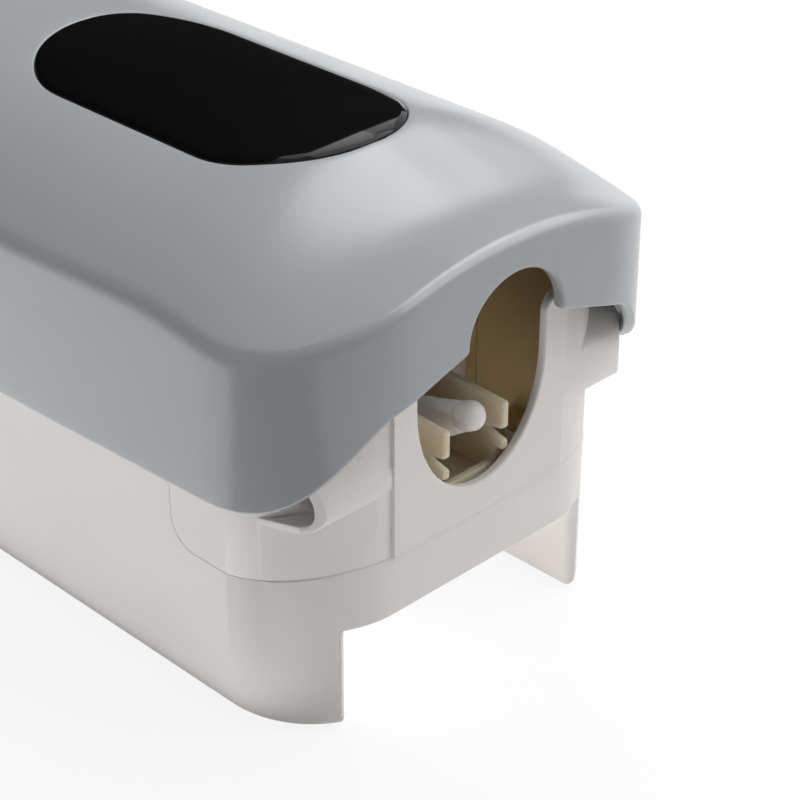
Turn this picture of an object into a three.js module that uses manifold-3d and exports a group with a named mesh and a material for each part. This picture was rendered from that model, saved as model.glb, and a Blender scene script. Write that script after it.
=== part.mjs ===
// Wall-mounted soap dispenser with a hinged cover that is pressed to work the pump. Millimetres.
// X points right for someone who faces it, Y points from the room into the wall and Z is up.
// The assembly is drawn with Z = 0 at the cover's lowest edge, and is then lowered by half its
// height, so the origin is the middle of the face that lies on the wall. A "depth" is a
// distance from the wall, so it lies along -Y.

import * as THREE from "three";
import { mergeVertices } from "three/addons/utils/BufferGeometryUtils.js";
import Module from "manifold-3d";

const wasm = await Module();
wasm.setup();

// Clearances
const fitGap = 0.3; // between pieces that are seated on each other
const runGap = 0.5; // between pieces that move past each other
const past = 1; // how far a cut runs past the face that it opens

// Cover: outline seen from the front
const coverWidth = 116;
const coverHeight = 235;
const coverWall = 2.6;
const coverCorner = 30;
const sideBow = 2.7; // how far the sides draw in towards the ends
const sideBowRun = 110;

// Cover: its domed face
const coverDepth = 111.2; // at the middle of the face, from the wall
const sideRise = 4.8; // how much deeper the side edges are away from the ends
const sideRiseStart = 12;
const sideRiseRun = 40;
const faceCrown = 19.2; // rise of the middle above the side edges
const endCrown = 16.4; // the same rise at the two ends
const faceFillet = 2.5;

// Cover: its rear edge, with the arch over the nozzle
const sideEdgeDepth = 55.6;
const bottomEdgeDepth = 87.3; // at the middle
const bottomEdgeSlope = 0.32;
const cornerDropStart = 31.4;
const archHalfWidth = 13;
const archDepth = 96;
const archFootFillet = 1.5;

// Window in the cover
const windowWidth = 50.6;
const windowBottom = 41.3;
const windowHeight = 92;
const windowCorner = 23.9;
const windowProud = 0.5;
const windowFlange = 3.5;
const windowFlangeThickness = 1.6;

// Body behind the cover: rear housing and chassis share one outline
const bodyWidth = 95.7;
const bodyInset = 9.4; // from the cover's ends to the body's ends
const bodyCorner = 23.8;
const bodyWall = 2.5;
const backPlate = 3;
const housingDepth = 66;
const partingDepth = 38; // of the line between the two, at the bottom
const sidePartingDepth = 33.5;
const partingCorner = 7;
const chassisHeight = 50; // from the cover's lowest edge to the chassis's top
const chassisDepth = 80;

// Recess at the foot of the wall side, between the two legs
const recessWidth = 70;
const recessDepth = 23.7;
const recessHeight = 60;

// Keyhole slots in the back plate
const keyholeSpacing = 50;
const keyholeHeights = [95, 185];
const keyholeHeadRadius = 5;
const keyholeShankRadius = 2.4;
const keyholeTravel = 9;

// Raised panel and nozzle opening under the chassis
const panelWidth = 50;
const panelRise = 0.7;
const openingHalfWidth = 18;
const openingEndDepth = 45.2;
const openingRoundLength = 20;

// Hinge ears at the chassis's lower corners, and the hinge pins that float in their slots
const earClearance = 2.7; // from an ear's end to the inside of the cover
const earRootHalfSpan = 26;
const earBottom = 9.6;
const earWall = 1.6;
const earFloorDepth = 52.6;
const earFloorLean = 5;
const earTop = 30;
const earHeelLength = 4.6; // of the round between the ear's underside and its floor
const earHeelHeight = 2.8;
const earFrontDepth = 72;
const pinRadius = 1.6;
const pinDepth = 60;
const pinHeight = 15.3;
const pinInnerEnd = 34;
const lugRadius = 3.2;
const lugSkin = 1.5; // left between the pin's blind bore and the outside of the cover

// Top catch and lock
const lockDepth = 67;
const lockRadius = 5.5;
const lockProud = 0.6;
const keySlotWidth = 1.6;
const keySlotLength = 7;
const keySlotDepth = 2;
const lockNutRadius = 7.2;
const lockNutHeight = 2.4;
const camThickness = 1.2;
const camReach = 14;
const camWidth = 4;
const camHubRadius = 5;
const camSpigotRadius = 2.5;
const catchThickness = 1.5;
const catchWidth = 30;
const catchRearDepth = 45;
const catchTabWidth = 7;
const catchTabThickness = 2;
const catchTabHeight = 3.4;
const catchScrewSpacing = 18;

// Pump: horizontal barrel, piston and the nozzle that points down and forward
const pumpStroke = 4;
const barrelHeight = 35;
const barrelRadius = 7.2;
const barrelBore = 5.2;
const barrelRearDepth = 33;
const barrelFrontDepth = 62;
const barrelEndWall = 2.5;
const barrelCapLength = 3;
const pistonLength = 7;
const pistonStemRadius = 2.8;
const sealWidth = 2.2;
const sealThickness = 1;
const buttonRadius = 6.8;
const buttonThickness = 4;
const padThickness = 2.5;
const pushPlateRadius = 8;
const pushPlateThickness = 3;
const pushArmWidth = 12;
const pushArmBottom = 20;
const pushArmTop = 33;
const springWire = 0.6; // radius of the wire
const springTurns = 5;
const nozzleTilt = THREE.MathUtils.degToRad(26);
const nozzleTipDepth = 60.6;
const nozzleTipHeight = 9.4;
const nozzleRadius = 3.1;
const nozzleBore = 1.6;
const nozzleSocket = 4; // how far the nozzle enters its boss
const nozzleBossWall = 1.5;
const valveLength = 5;

// Cradle that holds the pump over the nozzle opening
const cradleHalfGap = 7.7;
const cradleWall = 1.8;
const cradleFrontDepth = 59.7;
const cradleTop = 33;
const cradleFoot = 2;
const notchWidth = 3;
const notchHeight = 6;

// Shelf, refill bottle and its collar
const shelfThickness = 3;
const shelfHeight = 54;
const shelfSlotHalfWidth = 12;
const railWidth = 2.6;
const railHeight = 3;
const neckDepth = 46;
const neckRadius = 15;
const neckLength = 10;
const inletRadius = 7;
const inletBore = 3;
const inletFlangeThickness = 2.6;
const gasketThickness = 1.4;
const collarWall = 2.7;
const collarEndWall = 3;
const collarHeight = 14;
const inletBallRadius = 2.4;
const bottleWidth = 80;
const bottleRearDepth = 5;
const bottleFrontDepth = 84;
const bottleCorner = 15;
const bottleShoulder = 8;
const bottleTopGap = 8; // from the bottle's end to the housing's top wall

// Screws
const screwRadius = 1.5;
const screwHeadRadius = 2.8;
const screwHeadHeight = 1.6;
const screwLength = 8;
const bossRadius = 4;
const tabThickness = 2;
const chassisScrewHalfSpan = 31;
const chassisScrewHeight = 34;

// Places that follow from the sizes above
const coverHalf = coverWidth / 2;
const faceEdgeDepth = coverDepth - sideRise - faceCrown; // at the corners
const bodyHalf = bodyWidth / 2;
const bodyTop = coverHeight - bodyInset;
const coverReach = coverHalf - sideBow;
const fulcrumHeight = coverHeight - coverWall - lockNutHeight - fitGap;
const pressAngle = pumpStroke / (fulcrumHeight - barrelHeight);
const pinTravel = pressAngle * (fulcrumHeight - pinHeight);
const buttonRearDepth = barrelFrontDepth + fitGap + barrelCapLength + pumpStroke + runGap;
const buttonFrontDepth = buttonRearDepth + buttonThickness;
const padFrontDepth = buttonFrontDepth + fitGap + padThickness;
const pushPlateDepth = padFrontDepth + fitGap;
const shelfRearDepth = recessDepth + bodyWall + fitGap;
const shelfTop = shelfHeight + shelfThickness;
const collarBottom = shelfTop + fitGap;
const inletFlangeBottom = collarBottom + collarEndWall + fitGap;
const gasketBottom = inletFlangeBottom + inletFlangeThickness + fitGap;
const neckEnd = gasketBottom + gasketThickness + fitGap;
const bottleBottom = neckEnd + neckLength;
const spigotFrontDepth = partingDepth + fitGap + bodyWall;
const cradleRearDepth = spigotFrontDepth + fitGap;

// Smooth step from 0 to 1
function ease(t) {
  const s = Math.min(Math.max(t, 0), 1);
  return s * s * (3 - 2 * s);
}

// Solids from closed geometry, and back

function asSolid(geometry) {
  geometry.deleteAttribute("normal");
  geometry.deleteAttribute("uv");
  const merged = mergeVertices(geometry, 1e-4);
  const triVerts = Uint32Array.from(merged.index.array);
  return new wasm.Manifold(
    new wasm.Mesh({ numProp: 3, vertProperties: merged.attributes.position.array, triVerts }),
  );
}

function asGeometry(solid) {
  const mesh = solid.getMesh();
  const geometry = new THREE.BufferGeometry();
  geometry.setAttribute("position", new THREE.BufferAttribute(mesh.vertProperties, mesh.numProp));
  geometry.setIndex(new THREE.BufferAttribute(mesh.triVerts, 1));
  return geometry;
}

function join(...solids) {
  return solids.reduce((whole, solid) => whole.add(solid));
}

function cut(solid, ...tools) {
  return tools.reduce((whole, tool) => whole.subtract(tool), solid);
}

function mirrored(solid) {
  return solid.mirror([1, 0, 0]);
}

// Outlines, as lists of points

function arc(u, v, radiusU, radiusV, from, to, steps) {
  return Array.from({ length: steps + 1 }, (_, i) => {
    const angle = from + ((to - from) * i) / steps;
    return new THREE.Vector2(u + radiusU * Math.cos(angle), v + radiusV * Math.sin(angle));
  });
}

function circle(u, v, radius, sides = 24) {
  return arc(u, v, radius, radius, 0, 2 * Math.PI * (1 - 1 / sides), sides - 1);
}

function rectangle(left, bottom, right, top) {
  return [
    new THREE.Vector2(left, bottom),
    new THREE.Vector2(right, bottom),
    new THREE.Vector2(right, top),
    new THREE.Vector2(left, top),
  ];
}

function roundedRectangle(left, bottom, right, top, radius, steps = 7) {
  const quarter = Math.PI / 2;
  return [
    ...arc(left + radius, bottom + radius, radius, radius, 2 * quarter, 3 * quarter, steps),
    ...arc(right - radius, bottom + radius, radius, radius, 3 * quarter, 4 * quarter, steps),
    ...arc(right - radius, top - radius, radius, radius, 0, quarter, steps),
    ...arc(left + radius, top - radius, radius, radius, quarter, 2 * quarter, steps),
  ];
}

// A slot with round ends, between two points of one radius
function slot(u0, v0, u1, v1, radius, steps = 8) {
  const heading = Math.atan2(v1 - v0, u1 - u0);
  const quarter = Math.PI / 2;
  return [
    ...arc(u0, v0, radius, radius, heading + quarter, heading + 3 * quarter, steps),
    ...arc(u1, v1, radius, radius, heading - quarter, heading + quarter, steps),
  ];
}

// Prisms: along X the outline is (y, z), along Y it is (x, z) and along Z it is (x, y)
const unitX = new THREE.Vector3(1, 0, 0);
const unitY = new THREE.Vector3(0, 1, 0);
const unitZ = new THREE.Vector3(0, 0, 1);
const frames = {
  x: new THREE.Matrix4().makeBasis(unitY, unitZ, unitX),
  y: new THREE.Matrix4().makeBasis(unitX, unitZ, unitY.clone().negate()),
  z: new THREE.Matrix4(),
};

function prism(axis, outline, from, to) {
  const shape = new THREE.Shape(outline);
  const geometry = new THREE.ExtrudeGeometry(shape, { depth: to - from, bevelEnabled: false });
  geometry.translate(0, 0, axis === "y" ? -to : from);
  geometry.applyMatrix4(frames[axis]);
  return asSolid(geometry);
}

function box(x0, y0, z0, x1, y1, z1) {
  return prism("z", rectangle(x0, y0, x1, y1), z0, z1);
}

// A closed skin over rings of equal length, with a fan from each end ring to its own point
function loft(rings, firstPoint, lastPoint) {
  const count = rings[0].length;
  const first = rings.length * count;
  const points = [...rings.flat(), firstPoint, lastPoint];
  const faces = [];
  for (let i = 0; i < count; i += 1) {
    const next = (i + 1) % count;
    faces.push(first, next, i);
    for (let row = 0; row + 1 < rings.length; row += 1) {
      const near = row * count;
      const far = near + count;
      faces.push(near + i, near + next, far + next, near + i, far + next, far + i);
    }
    const last = (rings.length - 1) * count;
    faces.push(first + 1, last + i, last + next);
  }
  const geometry = new THREE.BufferGeometry().setFromPoints(points);
  geometry.setIndex(faces);
  return asSolid(geometry);
}

// The cover's form

function faceDepth(x, z) {
  const fromEnd = Math.min(z, coverHeight - z);
  const along = ease((fromEnd - sideRiseStart) / sideRiseRun);
  const crown = endCrown + (faceCrown - endCrown) * along;
  return faceEdgeDepth + sideRise * along + crown * (1 - (x / coverHalf) ** 2);
}

function rearEdgeDepth(x, z) {
  if (z > coverHeight / 2) return sideEdgeDepth;
  const line = (at) => bottomEdgeDepth - bottomEdgeSlope * at;
  const drop = line(coverReach) - sideEdgeDepth;
  const along = (Math.abs(x) - cornerDropStart) / (coverReach - cornerDropStart);
  return line(Math.abs(x)) - drop * ease(along);
}

// How far the sides are drawn in at a height, as a share of the width
function sideScale(z) {
  const fromEnd = Math.min(z, coverHeight - z);
  return 1 - (sideBow / coverHalf) * (1 - ease(fromEnd / sideBowRun));
}

// Half of the cover's width at a height within its lower corners
function cornerHalfWidth(z) {
  const reach = Math.sqrt(coverCorner ** 2 - (coverCorner - z) ** 2);
  return (coverHalf - coverCorner + reach) * sideScale(z);
}

// Points of the cover's outline, drawn in by an inset, as [x, z]
function coverOutline(inset) {
  const half = coverHalf - inset;
  const radius = coverCorner - inset;
  const low = inset;
  const high = coverHeight - inset;
  const quarter = Math.PI / 2;
  const straight = (x0, z0, x1, z1, steps) =>
    Array.from({ length: steps - 1 }, (_, i) => {
      const t = (i + 1) / steps;
      return new THREE.Vector2(x0 + (x1 - x0) * t, z0 + (z1 - z0) * t);
    });
  const corner = (x, z, turn) => arc(x, z, radius, radius, turn * quarter, (turn + 1) * quarter, 10);
  const inX = half - radius;
  const points = [
    ...corner(-inX, low + radius, 2),
    ...straight(-inX, low, inX, low, 12),
    ...corner(inX, low + radius, 3),
    ...straight(half, low + radius, half, high - radius, 9),
    ...corner(inX, high - radius, 0),
    ...straight(inX, high, -inX, high, 6),
    ...corner(-inX, high - radius, 1),
    ...straight(-half, high - radius, -half, low + radius, 9),
  ];
  return points.map((point) => [point.x * sideScale(point.y), point.y]);
}

// The solid behind the cover's face, set back by an offset and drawn in by an inset
function coverBlock(inset, offset, rearDepth) {
  const filletSteps = 5;
  const faceRows = 8;
  const fillet = Math.max(faceFillet - inset, fitGap);
  const rings = [];
  const ring = (drawnIn, back) =>
    coverOutline(inset + drawnIn).map(
      ([x, z]) => new THREE.Vector3(x, -faceDepth(x, z) + offset + back, z),
    );
  rings.push(coverOutline(inset).map(([x, z]) => new THREE.Vector3(x, -rearDepth(x, z), z)));
  for (let i = 0; i <= filletSteps; i += 1) {
    const angle = (Math.PI / 2) * (i / filletSteps);
    rings.push(ring(fillet * (1 - Math.cos(angle)), fillet * (1 - Math.sin(angle))));
  }
  const middle = coverHeight / 2;
  const rim = rings[rings.length - 1];
  for (let row = 1; row < faceRows; row += 1) {
    const scale = 1 - row / faceRows;
    rings.push(
      rim.map((point) => {
        const x = point.x * scale;
        const z = middle + (point.z - middle) * scale;
        return new THREE.Vector3(x, -faceDepth(x, z) + offset, z);
      }),
    );
  }
  const rearPoint = new THREE.Vector3(0, -rearDepth(coverHalf, middle), middle);
  const frontPoint = new THREE.Vector3(0, -faceDepth(0, middle) + offset, middle);
  return loft(rings, rearPoint, frontPoint);
}

const openRear = () => sideEdgeDepth - coverWidth / 4;
const coverOuter = coverBlock(0, 0, rearEdgeDepth);

function windowOutline(grow) {
  const half = windowWidth / 2 + grow;
  const top = windowBottom + windowHeight + grow;
  return roundedRectangle(-half, windowBottom - grow, half, top, windowCorner + grow, 8);
}

function archOutline() {
  const footX = archHalfWidth + archFootFillet;
  const footY = -rearEdgeDepth(footX, 0);
  const springY = footY - archFootFillet;
  const open = -sideEdgeDepth;
  const quarter = Math.PI / 2;
  return [
    new THREE.Vector2(-footX, open),
    ...arc(-footX, springY, archFootFillet, archFootFillet, quarter, 0, 4),
    ...arc(0, springY, archHalfWidth, archDepth + springY, 2 * quarter, 4 * quarter, 14),
    ...arc(footX, springY, archFootFillet, archFootFillet, 2 * quarter, quarter, 4),
    new THREE.Vector2(footX, open),
  ];
}

function pin(clearance, from, to) {
  return prism("x", circle(-pinDepth, pinHeight, pinRadius + clearance, 16), from, to);
}

const pinOuterEnd = cornerHalfWidth(pinHeight - pinRadius) - lugSkin;
const earHalfSpan = cornerHalfWidth(pinHeight) - coverWall - earClearance;

function frontCover() {
  const inner = coverBlock(coverWall, coverWall, openRear);
  const farFront = -faceDepth(0, coverHeight / 2);
  const window = prism("y", windowOutline(0), farFront - coverWall, -sideEdgeDepth);
  const arch = prism("z", archOutline(), -coverWall, 2 * coverWall);
  const lug = prism("x", circle(-pinDepth, pinHeight, lugRadius), earHalfSpan + runGap, coverHalf);
  const arm = prism(
    "y",
    roundedRectangle(-pushArmWidth / 2, pushArmBottom, pushArmWidth / 2, pushArmTop, coverWall, 3),
    farFront,
    -pushPlateDepth,
  );
  const plate = prism(
    "y",
    circle(0, barrelHeight, pushPlateRadius),
    -pushPlateDepth - pushPlateThickness,
    -pushPlateDepth,
  );
  const skin = coverOutline(coverWall / 2).map(([x, z]) => new THREE.Vector2(x, z));
  const lugRoom = prism("y", skin, -faceEdgeDepth, 0);
  const lugs = join(lug, mirrored(lug)).intersect(lugRoom);
  const added = join(lugs, join(arm, plate).intersect(coverOuter));
  const bore = pin(fitGap, earHalfSpan - runGap, pinOuterEnd + fitGap);
  const lockHole = prism(
    "z",
    circle(0, -lockDepth, lockRadius + fitGap),
    coverHeight - 2 * coverWall,
    coverHeight + lockProud,
  );
  const shell = cut(coverOuter, inner, window, arch);
  return cut(join(shell, added), bore, mirrored(bore), lockHole);
}

function windowLens() {
  const seat = coverWall + fitGap;
  const back = coverBlock(coverWall, seat + windowFlangeThickness, openRear);
  const farFront = -faceDepth(0, coverHeight / 2) - 2 * windowProud;
  const through = prism("y", windowOutline(-fitGap), farFront, -sideEdgeDepth);
  const flange = prism("y", windowOutline(windowFlange), farFront, -sideEdgeDepth);
  const plug = through.intersect(coverBlock(0, -windowProud, openRear));
  const rim = flange.intersect(coverBlock(coverWall, seat, openRear));
  return cut(join(plug, rim), back);
}

function pushPad() {
  const front = -padFrontDepth;
  return prism("y", circle(0, barrelHeight, buttonRadius), front, front + padThickness);
}

function hingePin() {
  return pin(0, pinInnerEnd, pinOuterEnd);
}

// The body's outline, drawn in by an inset
function bodyOutline(inset) {
  const half = bodyHalf - inset;
  const radius = bodyCorner - inset;
  return roundedRectangle(-half, bodyInset + inset, half, bodyTop - inset, radius);
}

function bodyShell(inset, wall, rearDepth, frontDepth, floorDepth) {
  const solid = prism("y", bodyOutline(inset), -frontDepth, -rearDepth);
  return cut(solid, prism("y", bodyOutline(inset + wall), -frontDepth - past, -floorDepth));
}

function keyhole(x, z) {
  const head = prism("y", circle(x, z, keyholeHeadRadius), -2 * backPlate, backPlate);
  const travel = slot(x, z, x, z + keyholeTravel, keyholeShankRadius);
  return head.add(prism("y", travel, -2 * backPlate, backPlate));
}

const rails = () => {
  const inside = bodyHalf - bodyWall;
  const top = shelfHeight - fitGap;
  const rail = box(
    inside - railWidth,
    -housingDepth + bodyWall,
    top - railHeight,
    inside + bodyWall / 2,
    -shelfRearDepth,
    top,
  );
  return join(rail, mirrored(rail));
};

// The space in front of the parting line, which the chassis takes up, held back by a gap
function chassisSpace(gap) {
  const bottom = -partingDepth - gap;
  const side = -sidePartingDepth - gap;
  const top = chassisHeight - gap;
  const far = -2 * chassisDepth;
  const radius = partingCorner;
  const outline = [
    new THREE.Vector2(far, 0),
    new THREE.Vector2(bottom, 0),
    new THREE.Vector2(bottom, bodyInset + bodyWall),
    new THREE.Vector2(side, bodyInset + bodyCorner),
    ...arc(side - radius, top - radius, radius, radius, 0, Math.PI / 2, 6),
    new THREE.Vector2(far, top),
  ];
  return prism("x", outline, -bodyWidth, bodyWidth);
}

const screwBossDepth = recessDepth + screwLength;

function rearHousing() {
  const shell = bodyShell(0, bodyWall, 0, housingDepth, backPlate);
  const half = recessWidth / 2;
  const recessOuter = box(
    -half - bodyWall,
    -recessDepth - bodyWall,
    bodyInset,
    half + bodyWall,
    0,
    recessHeight + bodyWall,
  ).intersect(prism("y", bodyOutline(0), -housingDepth, 0));
  const recess = box(-half, -recessDepth, 0, half, bodyWall, recessHeight);
  const boss = prism(
    "y",
    circle(chassisScrewHalfSpan, chassisScrewHeight, bossRadius, 16),
    -screwBossDepth,
    -recessDepth - bodyWall / 2,
  );
  const pilot = prism(
    "y",
    circle(chassisScrewHalfSpan, chassisScrewHeight, screwRadius + fitGap, 12),
    -screwBossDepth - bodyWall,
    -recessDepth - bodyWall,
  );
  const holes = keyholeHeights.flatMap((z) => [
    keyhole(-keyholeSpacing / 2, z),
    keyhole(keyholeSpacing / 2, z),
  ]);
  const topHole = catchScrewHole(bodyTop - 2 * bodyWall, bodyTop + fitGap);
  const solid = join(shell, recessOuter, rails(), boss, mirrored(boss));
  const tools = [recess, chassisSpace(0), pilot, mirrored(pilot), topHole, mirrored(topHole)];
  return cut(solid, ...tools, ...holes);
}

// The opening under the chassis: an ellipse's end with straight sides, open to the front
function openingOutline() {
  const springY = -openingEndDepth - openingRoundLength;
  const front = -chassisDepth - bodyWall;
  return [
    new THREE.Vector2(openingHalfWidth, front),
    ...arc(0, springY, openingHalfWidth, openingRoundLength, 0, Math.PI, 18),
    new THREE.Vector2(-openingHalfWidth, front),
  ];
}

// Section of an ear: a wall under the pocket and a floor that leans back behind it, as (y, z)
function earOutline() {
  const heelY = -earFloorDepth - earHeelLength;
  const heelZ = earBottom + earHeelHeight;
  const topY = -earFloorDepth + earFloorLean;
  const heel = (inset) =>
    arc(heelY, heelZ, earHeelLength - inset, earHeelHeight - inset, -Math.PI / 2, 0, 6);
  return [
    new THREE.Vector2(-earFrontDepth, earBottom),
    ...heel(0),
    new THREE.Vector2(topY, earTop),
    new THREE.Vector2(topY - earWall, earTop),
    ...heel(earWall).reverse(),
    new THREE.Vector2(-earFrontDepth, earBottom + earWall),
  ];
}

function chassis() {
  const rear = partingDepth + fitGap;
  const above = box(
    -bodyWidth,
    -2 * chassisDepth,
    chassisHeight - fitGap,
    bodyWidth,
    0,
    coverHeight,
  );
  const shell = bodyShell(0, bodyWall, 0, chassisDepth, 0);
  const spigotRear = recessDepth + bodyWall + fitGap;
  const spigot = bodyShell(
    bodyWall + fitGap,
    bodyWall,
    spigotRear,
    spigotFrontDepth,
    spigotRear - bodyWall,
  );
  const half = recessWidth / 2 + bodyWall + fitGap;
  const legClear = box(-half, -rear, bodyInset, half, 0, chassisHeight);
  const link = bodyShell(bodyWall / 2, bodyWall + fitGap, rear, spigotFrontDepth, rear - bodyWall);
  const panel = box(
    -panelWidth / 2,
    -chassisDepth,
    bodyInset - panelRise,
    panelWidth / 2,
    -rear,
    bodyInset + bodyWall / 2,
  );
  const cavity = prism("y", bodyOutline(bodyWall), -2 * chassisDepth, 0);
  const inside = coverOutline(coverWall + runGap).map(([x, z]) => new THREE.Vector2(x, z));
  const earRoom = prism("y", inside, -2 * chassisDepth, 0);
  const earBlock = prism("x", earOutline(), earRootHalfSpan, earHalfSpan);
  const ear = cut(earBlock.intersect(earRoom), cavity);
  const guide = prism(
    "x",
    slot(-pinDepth, pinHeight, -pinDepth + pinTravel, pinHeight, pinRadius + runGap),
    earRootHalfSpan,
    coverHalf,
  );
  const opening = prism("z", openingOutline(), 0, bodyInset + 2 * bodyWall);
  const tabFront = screwBossDepth + fitGap + tabThickness;
  const tab = box(
    chassisScrewHalfSpan - bossRadius,
    -tabFront,
    chassisScrewHeight - bossRadius,
    bodyHalf - 1.5 * bodyWall - fitGap,
    -screwBossDepth - fitGap,
    chassisScrewHeight + bossRadius,
  );
  const hole = prism(
    "y",
    circle(chassisScrewHalfSpan, chassisScrewHeight, screwRadius + fitGap, 12),
    -tabFront - past,
    -recessDepth,
  );
  const trough = join(join(shell, link).intersect(chassisSpace(fitGap)), cut(spigot, above));
  const solid = join(trough, panel, ear, mirrored(ear), tab, mirrored(tab));
  return cut(solid, legClear, opening, guide, mirrored(guide), hole, mirrored(hole));
}

// A screw along an axis, with its head's underside at the given place, pointing up the axis
function screw(axis, u, v, seat, direction) {
  const span = (from, to) => [seat + direction * from, seat + direction * to].sort((a, b) => a - b);
  const head = prism(axis, circle(u, v, screwHeadRadius, 16), ...span(-screwHeadHeight, 0));
  const shank = prism(axis, circle(u, v, screwRadius, 12), ...span(0, screwLength));
  return head.add(shank);
}

function chassisScrew() {
  const seat = -(screwBossDepth + 2 * fitGap + tabThickness);
  return screw("y", chassisScrewHalfSpan, chassisScrewHeight, seat, 1);
}

// Shelf under the bottle's collar, open to the front so that a refill slides in
function pumpShelf() {
  const half = bodyHalf - bodyWall - fitGap;
  const front = housingDepth - bodyWall;
  const plate = box(-half, -front, shelfHeight, half, -shelfRearDepth, shelfTop);
  const opening = [
    new THREE.Vector2(-shelfSlotHalfWidth, -housingDepth),
    new THREE.Vector2(shelfSlotHalfWidth, -housingDepth),
    ...arc(0, -neckDepth, shelfSlotHalfWidth, shelfSlotHalfWidth, 0, Math.PI, 12),
  ];
  return cut(plate, prism("z", opening, shelfHeight - past, shelfTop + past));
}

// The full refill, as one solid: a bottle with round corners, a shoulder and a neck that points down
function refillBottle() {
  const top = bodyTop - bodyWall - bottleTopGap;
  const half = bottleWidth / 2;
  const section = (drawnIn, z) =>
    roundedRectangle(
      -half + drawnIn,
      -bottleFrontDepth + drawnIn,
      half - drawnIn,
      -bottleRearDepth - drawnIn,
      bottleCorner - drawnIn / 2,
      5,
    ).map((point) => new THREE.Vector3(point.x, point.y, z));
  const middle = -(bottleRearDepth + bottleFrontDepth) / 2;
  const round = bottleShoulder;
  const rings = [
    section(2 * round, bottleBottom),
    section(round / 2, bottleBottom + round / 2),
    section(0, bottleBottom + 1.5 * round),
    section(0, top - round),
    section(round / 3, top - round / 3),
    section(round, top),
  ];
  const low = new THREE.Vector3(0, middle, bottleBottom);
  const body = loft(rings, low, new THREE.Vector3(0, middle, top));
  const neck = prism("z", circle(0, -neckDepth, neckRadius), neckEnd, bottleBottom + round);
  return join(body, neck);
}

// A ring about the neck's axis
function neckRing(inner, outer, from, to) {
  const body = prism("z", circle(0, -neckDepth, outer), from, to);
  return cut(body, prism("z", circle(0, -neckDepth, inner), from - past, to + past));
}

function bottleCollar() {
  const inner = neckRadius + fitGap;
  const outer = inner + collarWall;
  const endTop = collarBottom + collarEndWall;
  const end = neckRing(inletRadius + fitGap, inner + collarWall / 2, collarBottom, endTop);
  return join(end, neckRing(inner, outer, collarBottom, collarBottom + collarHeight));
}

function collarGasket() {
  const top = gasketBottom + gasketThickness;
  return neckRing(inletBore + inletBallRadius, neckRadius - fitGap, gasketBottom, top);
}

// A round prism about the barrel's axis
function barrelRound(radius, frontDepth, rearDepth, sides = 24) {
  return prism("y", circle(0, barrelHeight, radius, sides), -frontDepth, -rearDepth);
}

function barrelRing(inner, outer, frontDepth, rearDepth) {
  const bore = barrelRound(inner, frontDepth + past, rearDepth - past);
  return cut(barrelRound(outer, frontDepth, rearDepth), bore);
}

// Places a round that was drawn down the -Z axis from its tip's place on the nozzle's axis
function tilted(solid) {
  const degrees = -THREE.MathUtils.radToDeg(nozzleTilt);
  return solid.rotate([degrees, 0, 0]).translate([0, -nozzleTipDepth, nozzleTipHeight]);
}

// Distance along the nozzle's axis from its tip to the barrel's underside, where the tube ends
const nozzleRoot = (barrelHeight - barrelRadius - nozzleTipHeight) / Math.cos(nozzleTilt);

function nozzleRound(radius, from, to) {
  return prism("z", circle(0, 0, radius, 20), from, to);
}

function pumpBody() {
  const barrel = barrelRound(barrelRadius, barrelFrontDepth, barrelRearDepth);
  const flangeTop = inletFlangeBottom + inletFlangeThickness;
  const inlet = prism("z", circle(0, -neckDepth, inletRadius), barrelHeight, flangeTop);
  const flange = prism("z", circle(0, -neckDepth, neckRadius), inletFlangeBottom, flangeTop);
  const bossRadiusOuter = nozzleRadius + fitGap + nozzleBossWall;
  const bossLow = nozzleRoot - nozzleSocket;
  const boss = tilted(nozzleRound(bossRadiusOuter, bossLow, nozzleRoot + barrelRadius));
  const socket = tilted(nozzleRound(nozzleRadius + fitGap, bossLow - past, nozzleRoot + fitGap));
  const outlet = tilted(nozzleRound(nozzleBore, bossLow, nozzleRoot + barrelRadius));
  const bore = barrelRound(barrelBore, barrelFrontDepth + past, barrelRearDepth + barrelEndWall);
  const inletHole = prism("z", circle(0, -neckDepth, inletBore, 16), barrelHeight, flangeTop + past);
  return cut(join(barrel, inlet, flange, boss), bore, inletHole, socket, outlet);
}

const pistonFrontDepth = barrelFrontDepth - runGap;
const pistonRearDepth = pistonFrontDepth - pistonLength;
const sealFrontDepth = (pistonFrontDepth + pistonRearDepth + sealWidth) / 2;
const pistonRadius = barrelBore - fitGap;

function barrelCap() {
  const rear = barrelFrontDepth + fitGap;
  return barrelRing(pistonStemRadius + runGap, barrelRadius, rear + barrelCapLength, rear);
}

function pumpPiston() {
  const crown = barrelRound(pistonRadius, pistonFrontDepth, pistonRearDepth);
  const groove = barrelRing(
    pistonRadius - sealThickness - fitGap,
    barrelBore + past,
    sealFrontDepth + fitGap,
    sealFrontDepth - sealWidth - fitGap,
  );
  const stemFront = buttonRearDepth + buttonThickness / 2 - fitGap;
  const stem = barrelRound(pistonStemRadius, stemFront, pistonFrontDepth - past, 16);
  return join(cut(crown, groove), stem);
}

function pistonSeal() {
  const outer = pistonRadius;
  return barrelRing(outer - sealThickness, outer, sealFrontDepth, sealFrontDepth - sealWidth);
}

function pumpButton() {
  const body = barrelRound(buttonRadius, buttonFrontDepth, buttonRearDepth);
  const socketDepth = buttonRearDepth + buttonThickness / 2;
  return cut(body, barrelRound(pistonStemRadius + fitGap, socketDepth, buttonRearDepth - past, 16));
}

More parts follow.
